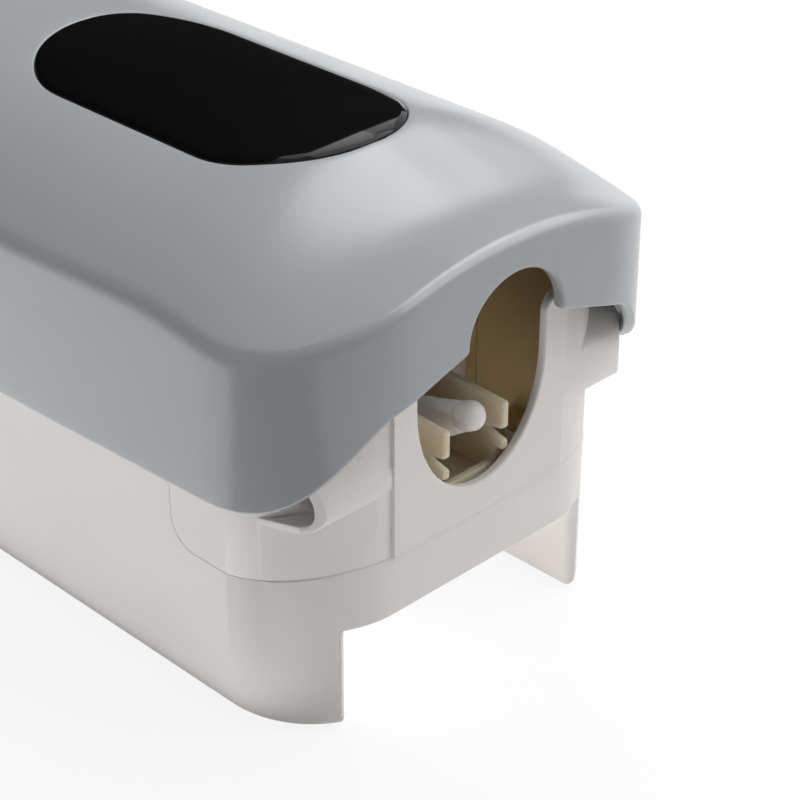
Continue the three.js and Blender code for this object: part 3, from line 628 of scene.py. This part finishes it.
def cover_shell():
    columns = cover_columns()
    count = len(columns)
    rim_radius, inner_rim = 0.9, 0.6
    wall = COVER_WALL

    def on_face(x, z, back=0.0):
        return Vector((x, -face_depth(x, z) + back, z))

    def fillet_rows(inset, offset, fillet, steps):
        rows = []
        for k in range(steps + 1):
            a = math.radians(90 * k / steps)
            drawn, back = fillet * (1 - math.cos(a)), fillet * (1 - math.sin(a))
            ring = [outline_at(c, inset + drawn) for c in columns]
            rows.append([on_face(x, z, offset + back) for x, z in ring])
        return rows

    edge = []
    for c in columns:
        x, z = outline_at(c, 0)
        depth = c[4] if c[4] is not None else rear_edge_depth(x, z)
        edge.append(Vector((x, -depth, z)))
    normals = [Vector((c[2], 0, c[3])) for c in columns]
    ways = []
    for i in range(count):
        tangent = (edge[(i + 1) % count] - edge[i - 1]).normalized()
        way = normals[i].cross(tangent).normalized()
        ways.append(way if way.y > 0 else -way)

    def rim(across, along):
        return [e - n * across - b * along for e, n, b in zip(edge, normals, ways)]

    outer_fillet = fillet_rows(0, 0, FACE_FILLET, 8)
    inner_fillet = fillet_rows(wall, wall, INNER_FILLET, 4)
    rim_rows = []
    for k in range(7):
        a = math.radians(15 * k)
        rim_rows.append(rim(rim_radius * (1 - math.cos(a)), rim_radius * (1 - math.sin(a))))
    for k in range(5):
        a = math.radians(22.5 * k)
        rim_rows.append(rim(wall - inner_rim * (1 - math.sin(a)), inner_rim * (1 - math.cos(a))))

    def between(first, last, steps):
        return [
            [p.lerp(q, k / steps) for p, q in zip(first, last)] for k in range(1, steps)
        ]

    bearings = [bearing(*outline_at(c, FACE_FILLET)) for c in columns]

    def face_rows(rim_row, grow, offset, steps):
        hole = window_points(bearings, grow)
        rows = []
        for k in range(1, steps + 1):
            t = k / steps
            rows.append([
                on_face(p.x + (x - p.x) * t, p.z + (z - p.z) * t, offset)
                for p, (x, z) in zip(rim_row, hole)
            ])
        return rows

    roll = 0.5
    sill = []
    for k in range(1, 5):
        a = math.radians(22.5 * k)
        ring = window_points(bearings, roll * (1 - math.sin(a)))
        sill.append([on_face(x, z, roll * (1 - math.cos(a))) for x, z in ring])
    rows = [
        *reversed(rim_rows),
        *between(rim_rows[0], outer_fillet[0], steps=12),
        *outer_fillet,
        *face_rows(outer_fillet[-1], roll, 0, steps=30),
        *sill,
        *reversed(face_rows(inner_fillet[-1], 0, wall, steps=12)),
        *reversed(inner_fillet),
        *between(inner_fillet[0], rim_rows[-1], steps=8),
    ]
    return outward(lofted("cover", rows, closed=True))


def cover_inside():
    """The arm and plate that press the pump's button, and the hinge lugs."""
    arm_half, arm_low, arm_high, arm_corner, arm_front = 6, 20, 33, 2.6, 103
    plate_radius, plate_thickness = 8, 3
    arm_outline = rounded_rectangle(-arm_half, arm_low, arm_half, arm_high, arm_corner)
    arm = prism("y", arm_outline, -arm_front, -PAD_DEPTH)
    plate = prism(
        "y", circle(0, BARREL_HEIGHT, plate_radius), -PAD_DEPTH - plate_thickness, -PAD_DEPTH
    )
    lug = prism("x", circle(-PIN_DEPTH, PIN_HEIGHT, LUG_RADIUS), LUG_INNER, LUG_OUTER)
    bore_start, bore_end = 45, 50
    bore = prism("x", circle(-PIN_DEPTH, PIN_HEIGHT, PIN_BORE), bore_start, bore_end)
    # A lug ends a little short of the cover's rear edge
    short, near, far = 1.2, 46, 52
    edge = [(x, -rear_edge_depth(x, 0) + short) for x in range(near, far + 1)]
    behind = prism("z", [*edge, (far, 0), (near, 0)], 0, 40)
    room = prism("y", [outline_at(c, COVER_WALL / 2) for c in cover_columns()], -FAR, 0)
    lug = common(cut(lug, bore, behind), room)
    return softened(taken(join(arm, plate)), 0.3), taken(join(*both(lug)))


def merged(*meshes):
    bm = bmesh.new()
    for mesh in meshes:
        bm.from_mesh(mesh)
    mesh = bpy.data.meshes.new("merged")
    bm.to_mesh(mesh)
    bm.free()
    return mesh


place(
    "cover_shell", smooth(merged(cover_shell(), *cover_inside()), 40), "cover", "cover_plastic",
    [cover_plastic], ["front_cover"],
)


def lens_form():
    gap = 0.12
    # How far each ring is outside the window's outline, and behind the cover's face
    rim = [
        (-gap - 1.35, -WINDOW_PROUD), (-gap - 1.2, -WINDOW_PROUD + 0.03),
        (-gap - 0.35, -0.12), (-gap - 0.12, 0), (-gap, 0.2), (-gap, COVER_WALL + 0.1),
        (WINDOW_FLANGE, COVER_WALL + 0.3), (WINDOW_FLANGE, COVER_WALL + WINDOW_FLANGE_THICKNESS),
        (-gap - 2, COVER_WALL + WINDOW_FLANGE_THICKNESS + 0.3),
    ]

    def ring(grow, back, scale=1.0):
        points = []
        for x, z in window_outline(grow):
            u, v = x * scale, WINDOW_MIDDLE + (z - WINDOW_MIDDLE) * scale
            points.append(Vector((u, -face_depth(u, v) + back, v)))
        return points

    def middle(back):
        return Vector((0, -face_depth(0, WINDOW_MIDDLE) + back, WINDOW_MIDDLE))

    front = [ring(*rim[0], scale=k / 16) for k in range(1, 16)]
    rear = [ring(*rim[-1], scale=k / 8) for k in range(7, 0, -1)]
    rows = [*front, *[ring(*r) for r in rim], *rear]
    return outward(lofted("lens", rows, first=middle(rim[0][1]), last=middle(rim[-1][1])))


place(
    "window_lens_form", smooth(lens_form(), 25), "cover", "dark_lens", [dark_lens], ["window_lens"]
)


# Body: rear housing and chassis


def body_outline(inset):
    half = BODY_HALF - inset
    return rounded_rectangle(
        -half, BODY_BOTTOM + inset, half, BODY_TOP - inset, BODY_CORNER - inset, 24
    )


def body_shell(inset, wall, rear, front, floor):
    whole = prism("y", body_outline(inset), -front, -rear)
    return cut(whole, prism("y", body_outline(inset + wall), -front - 1, -floor))


def chassis_space(gap):
    bottom, side = -PARTING_DEPTH - gap, -SIDE_PARTING_DEPTH - gap
    top, radius = CHASSIS_HEIGHT - gap, PARTING_CORNER
    outline = [
        (-FAR, 0), (bottom, 0), (bottom, BODY_BOTTOM + BODY_WALL),
        (side, BODY_BOTTOM + BODY_CORNER),
        *arc(side - radius, top - radius, radius, radius, 0, 90, 16), (-FAR, top),
    ]
    return prism("x", outline, -2 * BODY_HALF, 2 * BODY_HALF)


def rolled(outline, radius, end):
    """Levels of an outline from the wall out, drawn in at the wall by a quarter round."""
    steps = 7
    levels = []
    for k in range(steps + 1):
        a = math.radians(90 * k / steps)
        levels.append((outline(radius * (1 - math.sin(a))), -radius * (1 - math.cos(a))))
    return [*levels, (outline(0), -end)]


def recess_outline(grow):
    """The recess between the legs, whose inner corners are round."""
    half, nose, nose_height = RECESS_HALF, 2, 14.7
    mouth = arc(half + nose, nose_height, nose - grow, nose - grow, 180, 270, 10)
    top = RECESS_HEIGHT + grow
    right = [*reversed(mouth), (half + grow, top)]
    left = [(-half - grow, top), *[(-x, z) for x, z in mouth]]
    return [*right, *left, (-half - nose, 0), (half + nose, 0)]


def rear_housing():
    half, wall = RECESS_HALF, BODY_WALL
    roll, lip = 2.8, 1.9  # rounds at the wall, of the body and of the recess
    heel_width, heel_height = 8, 26
    boss_radius, boss_rear, boss_front = 4, 25, 31.7
    pilot_rear, pilot_front = 26.2, 34
    hole_depth = 5

    def whole_body():
        return stacked("y", rolled(body_outline, roll, HOUSING_DEPTH))

    space = prism("y", body_outline(wall), -HOUSING_DEPTH - 1, -BACK_PLATE)
    shell = cut(whole_body(), space)
    reach = -RECESS_DEPTH - wall
    core = block(-half - wall, reach, BODY_BOTTOM, half + wall, 0, RECESS_HEIGHT + wall)
    heel = block(half, reach, BODY_BOTTOM, half + heel_width, 0, heel_height)
    lining = common(join(core, *both(heel)), whole_body())
    recess = stacked("y", [(recess_outline(lip), 1), *rolled(recess_outline, lip, RECESS_DEPTH)])
    boss = prism("y", circle(SCREW_SPAN, SCREW_HEIGHT, boss_radius), -boss_front, -boss_rear)
    pilot = prism("y", circle(SCREW_SPAN, SCREW_HEIGHT, SCREW_HOLE), -pilot_front, -pilot_rear)
    side = BODY_HALF - wall
    rail = block(
        side - RAIL_REACH, -SHELF_FRONT, RAIL_LOW, side + wall / 2, -SHELF_REAR, RAIL_HIGH
    )
    through, slot = (-2 * BACK_PLATE, BACK_PLATE), KEYHOLE_SLOT
    keyholes = []
    for x in (-KEYHOLE_SPAN, KEYHOLE_SPAN):
        for z in KEYHOLE_HEIGHTS:
            keyholes.append(prism("y", circle(x, z, KEYHOLE_RADIUS), *through))
            low = arc(x, z, slot, slot, 180, 360, 16)
            high = arc(x, z + KEYHOLE_TRAVEL, slot, slot, 0, 180, 16)
            keyholes.append(prism("y", [*low, *high], *through))
    catch_hole = circle(CATCH_SCREW_SPAN, -CATCH_SCREW_DEPTH, SCREW_HOLE)
    screw_hole = prism("z", catch_hole, BODY_TOP - hole_depth, BODY_TOP + 1)
    whole = join(shell, lining, *both(boss), *both(rail))
    return cut(
        whole, recess, chassis_space(0), *both(pilot), *both(screw_hole), *keyholes
    )


EAR_ROOT, EAR_END = 24.5, 46.4
EAR_WALL = 1.6


def ear():
    """A pocket under the hinge pin: a scooped wall below it, and a floor that leans back."""
    low, depth = 9, 56
    scoop, heel_length, heel_height = 14.5, 4, 3
    floor_depth, floor_top = 47.1, 30
    clear = 0.5  # from the cover's wall

    def side(inset):
        rise = arc(-depth, low + scoop, scoop - inset, scoop - inset, 205, 270, 24)
        heel = arc(
            -depth, low + heel_height, heel_length - inset, heel_height - inset, 270, 360, 16
        )
        return [*rise, *heel[1:], (-floor_depth - inset, floor_top)]

    outline = [*side(0), *reversed(side(EAR_WALL))]
    space = [outline_at(c, COVER_WALL + clear) for c in cover_columns()]
    return common(prism("x", outline, EAR_ROOT, EAR_END), prism("y", space, -FAR, 0))


def opening_outline(grow):
    """The nozzle's opening: an ellipse's end with straight sides that turn out at the front."""
    half, depth = 18.4 + grow, 23.8 + grow
    spring, front, turn = -69, -CHASSIS_DEPTH, 3
    round_end = arc(0, spring, half, depth, 0, 180, 48)
    left = arc(-half - turn, front + turn, turn, turn, 0, -90, 8)
    right = arc(half + turn, front + turn, turn, turn, 270, 180, 8)
    far = front - 2
    return [(half + turn, far), *right, *round_end, *left, (-half - turn, far)]


def chassis():
    wall, top = BODY_WALL, CHASSIS_HEIGHT - SEAM
    rear = PARTING_DEPTH + SEAM
    spigot_floor, overlap = 24, 0.2
    sleeve_rear, sleeve_front, sleeve_floor, sleeve_low, sleeve_side = 40, 76, 36, 20, 30
    tab_near, tab_far, tab_low, tab_high, tab_rear, tab_front = 27, 43.8, 30, 38, 32, 34
    hole_rear, hole_front = 23, 35
    leg_half = 37.8
    relief_width, relief_skin = 1.8, 1.2
    backing_rear, backing_floor, backing_top = 36.6, 36, 49

    shell = body_shell(0, wall, 0, CHASSIS_DEPTH, 0)
    link = body_shell(wall / 2, wall + SPIGOT_GAP, rear, SPIGOT_FRONT, rear - wall)
    spigot = body_shell(wall + SPIGOT_GAP, wall, SPIGOT_REAR, SPIGOT_FRONT, spigot_floor)
    above = block(-WIDE, -FAR, top, WIDE, 0, COVER_HEIGHT)
    # The sleeve carries the spigot's inner face on to the front
    sleeve_wall = wall + SPIGOT_GAP + overlap
    sleeve = common(
        body_shell(wall - overlap, sleeve_wall, sleeve_rear, sleeve_front, sleeve_floor),
        block(sleeve_side, -FAR, sleeve_low, WIDE, 0, top),
    )
    trough = join(common(join(shell, link), chassis_space(SEAM)), cut(spigot, above))
    panel = block(
        -PANEL_HALF, -CHASSIS_DEPTH, PANEL_BOTTOM, PANEL_HALF, -rear, BODY_BOTTOM + wall / 2
    )
    ears = [cut(part, prism("y", body_outline(wall), -FAR, 0)) for part in both(ear())]
    tab = block(tab_near, -tab_front, tab_low, tab_far, -tab_rear, tab_high)
    hole = prism("y", circle(SCREW_SPAN, SCREW_HEIGHT, SCREW_HOLE), -hole_front, -hole_rear)
    guide_low = arc(-PIN_DEPTH, PIN_HEIGHT, PIN_SLOT, PIN_SLOT, 90, 270, 16)
    guide_high = arc(-PIN_DEPTH + PIN_TRAVEL, PIN_HEIGHT, PIN_SLOT, PIN_SLOT, -90, 90, 16)
    guide = prism("x", [*guide_low, *guide_high], EAR_ROOT, COVER_HALF)
    leg_room = common(
        block(-leg_half, -rear, BODY_BOTTOM, leg_half, 0, CHASSIS_HEIGHT),
        prism("y", body_outline(wall), -rear, 0),
    )
    opening = prism("z", opening_outline(0), 0, BODY_BOTTOM + 2 * wall)
    relief = prism(
        "z", opening_outline(relief_width), BODY_BOTTOM + relief_skin, BODY_BOTTOM + 2 * wall
    )
    # The backing closes the view through the seam
    backing = cut(
        body_shell(wall + 0.05, 1, backing_rear, SPIGOT_FRONT, backing_floor),
        block(-WIDE, -50, backing_top, WIDE, 0, 240),
    )
    whole = join(trough, panel, *ears, *both(tab), *both(sleeve))
    return join(cut(whole, leg_room, opening, relief, *both(guide), *both(hole)), backing)


def inside(x, y, z):
    """Whether a point is on or behind the inner faces of the body's walls."""
    skin = 0.4  # how deep in a wall its inside begins
    inset = BODY_WALL - skin
    half, radius = BODY_HALF - inset, BODY_CORNER - inset
    low, high = BODY_BOTTOM + inset, BODY_TOP - inset
    u = max(abs(x) - (half - radius), 0)
    v = max(low + radius - z, z - (high - radius), 0)
    return y < -RECESS_DEPTH - 1 and math.hypot(u, v) < radius


def paint_inner_shade(mesh):
    """Gives the faces that look into the body a tan material of painted shade, for the warm shade
    inside it.
    """
    for face in mesh.polygons:
        corners = [mesh.vertices[i].co for i in face.vertices]
        face.material_index = int(all(inside(*corner) for corner in corners))


def body_piece(name, obj, node, wide, where):
    mesh = softened(taken(obj), 0.3, wide=wide, where=where)
    # The faces inside the body get painted shade, a tan for the warm shade there
    paint_inner_shade(mesh)
    smooth(mesh, 32)
    level_flats(mesh)
    indices = [p.material_index for p in mesh.polygons]
    place(name, mesh, "body", "body_plastic", [body_plastic, inner_painted_shade], [node])
    mesh.polygons.foreach_set("material_index", indices)


# Which edges get a round of their own, from the two ends of an edge


def at_recess(x0, y0, z0, x1, y1, z1):
    at_floor = max(abs(y0 + RECESS_DEPTH), abs(y1 + RECESS_DEPTH)) < 0.05
    return at_floor and max(z0, z1) < 30


def at_seam(x0, y0, z0, x1, y1, z1):
    foot, shoulder = BODY_BOTTOM + BODY_WALL, BODY_BOTTOM + BODY_CORNER
    slope = (PARTING_DEPTH - SIDE_PARTING_DEPTH) / (shoulder - foot)
    reach, slack, corner = 0.3, 0.1, PARTING_CORNER

    def near(y, z):
        line = -PARTING_DEPTH + slope * (z - foot)
        turn = math.hypot(y + SIDE_PARTING_DEPTH + corner, z - CHASSIS_HEIGHT + corner)
        return (
            (abs(y + PARTING_DEPTH) < reach and z < foot + slack)
            or (abs(y - line) < reach and foot - slack < z < shoulder + slack)
            or (abs(y + SIDE_PARTING_DEPTH) < reach and shoulder - slack < z < CHASSIS_HEIGHT)
            or abs(turn - corner) < reach
            or abs(z - CHASSIS_HEIGHT) < reach
        )

    return near(y0, z0) and near(y1, z1)


def at_opening(x0, y0, z0, x1, y1, z1):
    in_front = max(abs(x0), abs(x1)) < 22 and max(y0, y1) < -40
    return in_front and max(z0, z1) < BODY_BOTTOM + 0.1


def on_outside(x0, y0, z0, x1, y1, z1):
    return not (inside(x0, y0, z0) and inside(x1, y1, z1))


def before_seam(x0, y0, z0, x1, y1, z1):
    return min(y0, y1) < -PARTING_DEPTH - BODY_WALL - 1


body_piece(
    "rear_housing_form", rear_housing(), "rear_housing", [(0.07, 3, at_seam), (0.6, 3, at_recess)],
    on_outside,
)
body_piece(
    "chassis_form", chassis(), "chassis", [(0.07, 3, at_seam), (0.5, 4, at_opening)], before_seam
)

# Pieces that keep the form of their solid, with rounded edges
for node, body, slot, material, width in (
    ("push_pad", "cover", "soft_rubber", rubber, 0.4),
    ("hinge_pin_right", "hinge_pins", "steel", steel, 0.25),
    ("hinge_pin_left", "hinge_pins", "steel", steel, 0.25),
    ("chassis_screw_right", "body", "steel", steel, 0.25),
    ("chassis_screw_left", "body", "steel", steel, 0.25),
    ("pump_shelf", "body", "body_plastic", body_plastic, 0.4),
    ("refill_bottle", "body", "clear_plastic", bottle_plastic, 0.4),
    ("bottle_collar", "body", "pump_plastic", pump_plastic, 0.4),
    ("collar_gasket", "body", "soft_rubber", rubber, 0.2),
    ("pump_body", "body", "pump_plastic", pump_plastic, 0.3),
    ("barrel_cap", "body", "pump_plastic", pump_plastic, 0.3),
    ("pump_piston", "piston", "pump_plastic", pump_plastic, 0.2),
    ("piston_seal", "piston", "soft_rubber", rubber, 0.2),
    ("pump_button", "piston", "pump_plastic", pump_plastic, 0.4),
    ("inlet_ball", "body", "steel", steel, 0.1),
    # The cradle's tan is painted shade
    ("pump_cradle", "body", "body_plastic", cradle_painted_shade, 0.4),
    ("lock_barrel", "lock", "steel", steel, 0.3),
    ("lock_nut", "cover", "steel", steel, 0.3),
    ("lock_cam", "lock", "steel", steel, 0.2),
    ("lock_catch", "body", "steel", steel, 0.2),
    ("catch_screw_right", "body", "steel", steel, 0.25),
    ("catch_screw_left", "body", "steel", steel, 0.25),
):
    dressed(node, body, slot, material, width)


NOZZLE_TILT = math.radians(26)
NOZZLE_TIP = (60.6, 9.4)  # depth and height
NOZZLE_ROOT = 20.4  # all lengths along the nozzle are from its tip
VALVE_LENGTH = 5


def turned(profile, sides=48):
    """A round about the nozzle's axis, from (radius, length) points."""
    along = Vector((0, math.sin(NOZZLE_TILT), math.cos(NOZZLE_TILT)))
    over = Vector((0, math.cos(NOZZLE_TILT), -math.sin(NOZZLE_TILT)))
    tip = Vector((0, -NOZZLE_TIP[0], NOZZLE_TIP[1]))
    angles = [2 * math.pi * k / sides for k in range(sides)]
    rows = []
    for radius, length in profile:
        centre = tip + along * length
        rows.append([
            centre + Vector((radius * math.cos(a), 0, 0)) + over * radius * math.sin(a)
            for a in angles
        ])
    ends = [tip + along * profile[k][1] for k in (0, -1)]
    return smooth(outward(lofted("round", rows, first=ends[0], last=ends[1])), 40)


nozzle_profile = [
    (3.05, VALVE_LENGTH + 0.25), (3.22, VALVE_LENGTH + 0.35), (3.28, VALVE_LENGTH + 0.6),
    (4.3, 13), (4.75, 15.2), (4.85, 16.1), (4.8, 16.4), (3.1, 16.4), (3.1, NOZZLE_ROOT),
]
valve_profile = [
    *arc(0, 2.5, 3.15, -2.5, 86, 0, 8),
    (3.2, VALVE_LENGTH - 0.2), (3.1, VALVE_LENGTH), (1.3, VALVE_LENGTH), (1.3, VALVE_LENGTH + 4),
]
for node, slot, profile in (
    ("outlet_nozzle", "pump_plastic", nozzle_profile), ("nozzle_valve", "soft_tip", valve_profile),
):
    place(node + "_form", turned(profile), "body", slot, [tip_plastic], [node])


def spring():
    """The pump's return spring: a helix of round wire about the barrel's axis."""
    turns, per_turn, sides = 5, 32, 10
    wire, coil = 0.6, 3.4
    start, end = 36.4, 53.6
    steps = turns * per_turn
    rows = []
    for i in range(steps + 1):
        a = 2 * math.pi * i / per_turn
        out = Vector((math.cos(a), 0, math.sin(a)))
        centre = out * coil + Vector((0, -start - (end - start) * i / steps, BARREL_HEIGHT))
        ring = [2 * math.pi * k / sides for k in range(sides)]
        rows.append([
            centre + out * wire * math.cos(b) + Vector((0, wire * math.sin(b), 0)) for b in ring
        ])
    first = sum(rows[0], Vector()) / sides
    last = sum(rows[-1], Vector()) / sides
    return outward(lofted("spring", rows, first=first, last=last))


spring_piece = place(
    "pump_spring_form", smooth(spring(), 60), "body", "steel", [steel], ["pump_spring"]
)
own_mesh(spring_piece)

# Stage: a white table that the dispenser lies on with its wall side, and a white room


def linked(tree, kind, *sources):
    """A new node whose first inputs come from the given sockets."""
    node = tree.nodes.new(kind)
    for socket, source in zip(node.inputs, sources):
        tree.links.new(source, socket)
    return node


def seen_share(tree):
    """1 for rays that show a thing to the camera, also by way of a reflection, and 0 for others."""
    path = tree.nodes.new("ShaderNodeLightPath").outputs
    mirrored_too = linked(tree, "ShaderNodeMath", path["Is Camera Ray"], path["Is Glossy Ray"])
    through_too = linked(
        tree, "ShaderNodeMath", mirrored_too.outputs[0], path["Is Transmission Ray"]
    )
    mirrored_too.operation = through_too.operation = "MAXIMUM"
    return through_too.outputs[0]


def staged(name, corners, material):
    """A flat piece of the stage."""
    mesh = mesh_of(name, corners, [range(len(corners))])
    mesh.materials.append(material)
    piece = bpy.data.objects.new(name, mesh)
    bpy.context.collection.objects.link(piece)
    return piece


def table_white():
    """White where it is seen, with a little of its shadows, and clear from behind."""
    nodes = Nodes("table_white")
    tree = nodes.tree
    tone = nodes.mixed(nodes.span(nodes.noise(3), 0, 1), (0.9, 0.9, 0.9, 1), (0.88, 0.88, 0.88, 1))
    nodes.set(Base_Color=tone, Roughness=0.8)
    glow = nodes.add("ShaderNodeEmission", {"Color": (1, 1, 1, 1), "Strength": 1.0})
    share = nodes.maths("MULTIPLY", seen_share(tree), 0.88)
    lit = linked(tree, "ShaderNodeMixShader", share, nodes.shader.outputs[0], glow.outputs[0])
    behind = nodes.add("ShaderNodeNewGeometry").outputs["Backfacing"]
    clear = nodes.add("ShaderNodeBsdfTransparent")
    whole = linked(tree, "ShaderNodeMixShader", behind, lit.outputs[0], clear.outputs[0])
    tree.links.new(whole.outputs[0], tree.nodes["Material Output"].inputs["Surface"])
    return nodes.material


def room(light):
    """A world that is white where it is seen and gives an even light elsewhere."""
    world = bpy.data.worlds.new("room")
    bpy.context.scene.world = world
    world.use_nodes = True
    tree = world.node_tree
    strength = linked(tree, "ShaderNodeMapRange", seen_share(tree))
    strength.inputs["To Min"].default_value = light
    strength.inputs["To Max"].default_value = 1.0
    background = tree.nodes["Background"]
    background.inputs["Color"].default_value = (1, 1, 1, 1)
    tree.links.new(strength.outputs[0], background.inputs["Strength"])


def table():
    reach, gap = 3.0, 0.0008
    corners = [(x, gap, z) for x, z in rectangle(-reach, -reach, reach, reach)]
    staged("table", corners, table_white())


table()
room(0.05)


def softbox(name, place_at, aim, width, height, power):
    lamp = bpy.data.lights.new(name, "AREA")
    lamp.shape = "RECTANGLE"
    lamp.size, lamp.size_y = width, height
    lamp.energy = power
    obj = bpy.data.objects.new(name, lamp)
    obj.location = place_at
    obj.rotation_mode = "QUATERNION"
    obj.rotation_quaternion = (aim - place_at).to_track_quat("-Z", "Y")
    obj.visible_camera = False
    bpy.context.collection.objects.link(obj)


MIDDLE = Vector((0, -0.06, -0.06))


def card_black():
    nodes = Nodes("flag_black")
    dark, pale = (0.012, 0.012, 0.012, 1), (0.016, 0.016, 0.016, 1)
    tone = nodes.mixed(nodes.span(nodes.noise(6), 0, 1), dark, pale)
    nodes.set(Base_Color=tone, Roughness=0.9, Specular_IOR_Level=0.0)
    return nodes.material


def cards():
    """Dark cards that show in reflections alone.

    One stands beyond the dispenser, for the window and the left of the cover, and one lies on the
    table, for the near corner.
    """
    facing, distance = Vector((0.1, -0.55, 0.83)).normalized(), 0.9
    ways = [
        Vector(way) for way in (
            (0.92, -0.04, 0.46), (-0.31, -0.88, 0.04), (-0.85, -0.3, 0.42), (-0.8, -0.12, 0.6),
            (0.5, -0.02, 0.87),
        )
    ]
    flag = [MIDDLE + way * (distance / way.dot(facing)) for way in ways]
    low = -0.0015  # just over the low lamp
    mat = [(-0.07, low, -0.075), (-0.35, low, -0.03), (-0.35, low, -0.3), (-0.07, low, -0.18)]
    material = card_black()
    for name, corners in (("flag", flag), ("mat", mat)):
        card = staged(name, corners, material)
        card.visible_camera = card.visible_diffuse = card.visible_shadow = False


cards()
for name, way, size, power in (
    ("left", (-0.7, -0.25, 0.66), 0.9, 1.0),
    ("over", (0.4, -1.05, 0.41), 1.0, 7.2),
    ("right", (0.55, -0.85, -0.42), 1.1, 10.2),
    ("back", (0.9, -1.2, 0.9), 1.6, 9),
):
    softbox(name, MIDDLE + Vector(way), MIDDLE, size, size, power)
# What the table's far left, and the walls inside the opening and the recess, throw back
for name, spot, aim, width, height, power in (
    ("bounce", (-0.3, -0.001, 0.174), (-0.3, -1, 0.174), 0.5, 0.592, 0.74),
    ("bay", (-0.03, -0.06, -0.078), (0.012, -0.06, -0.108), 0.012, 0.012, 0.0036),
    ("well", (0.012, -0.036, -0.083), (0.045, -0.036, -0.078), 0.012, 0.012, 0.002),
    ("recess", (-0.03, -0.011, -0.092), (0.03, -0.011, -0.1), 0.03, 0.016, 0.014),
):
    softbox(name, Vector(spot), Vector(aim), width, height, power)


def camera():
    """The photograph's own view, for a frame of 800 by 800."""
    data = bpy.data.cameras.new("camera")
    data.sensor_width = 36
    data.lens = 102.2517
    data.shift_x, data.shift_y = -0.023176, -0.066379
    right = Vector((0.70301, -0.007675, -0.711138))
    down = Vector((-0.336076, 0.877661, -0.341707))
    ahead = Vector((0.626761, 0.479221, 0.614425))
    turn = Matrix((right, -down, -ahead)).transposed().to_4x4()
    obj = bpy.data.objects.new("camera", data)
    obj.matrix_world = Matrix.Translation((-0.290021, -0.291132, -0.374985)) @ turn
    bpy.context.collection.objects.link(obj)
    bpy.context.scene.camera = obj


camera()
bpy.context.scene.view_settings.view_transform = "Standard"
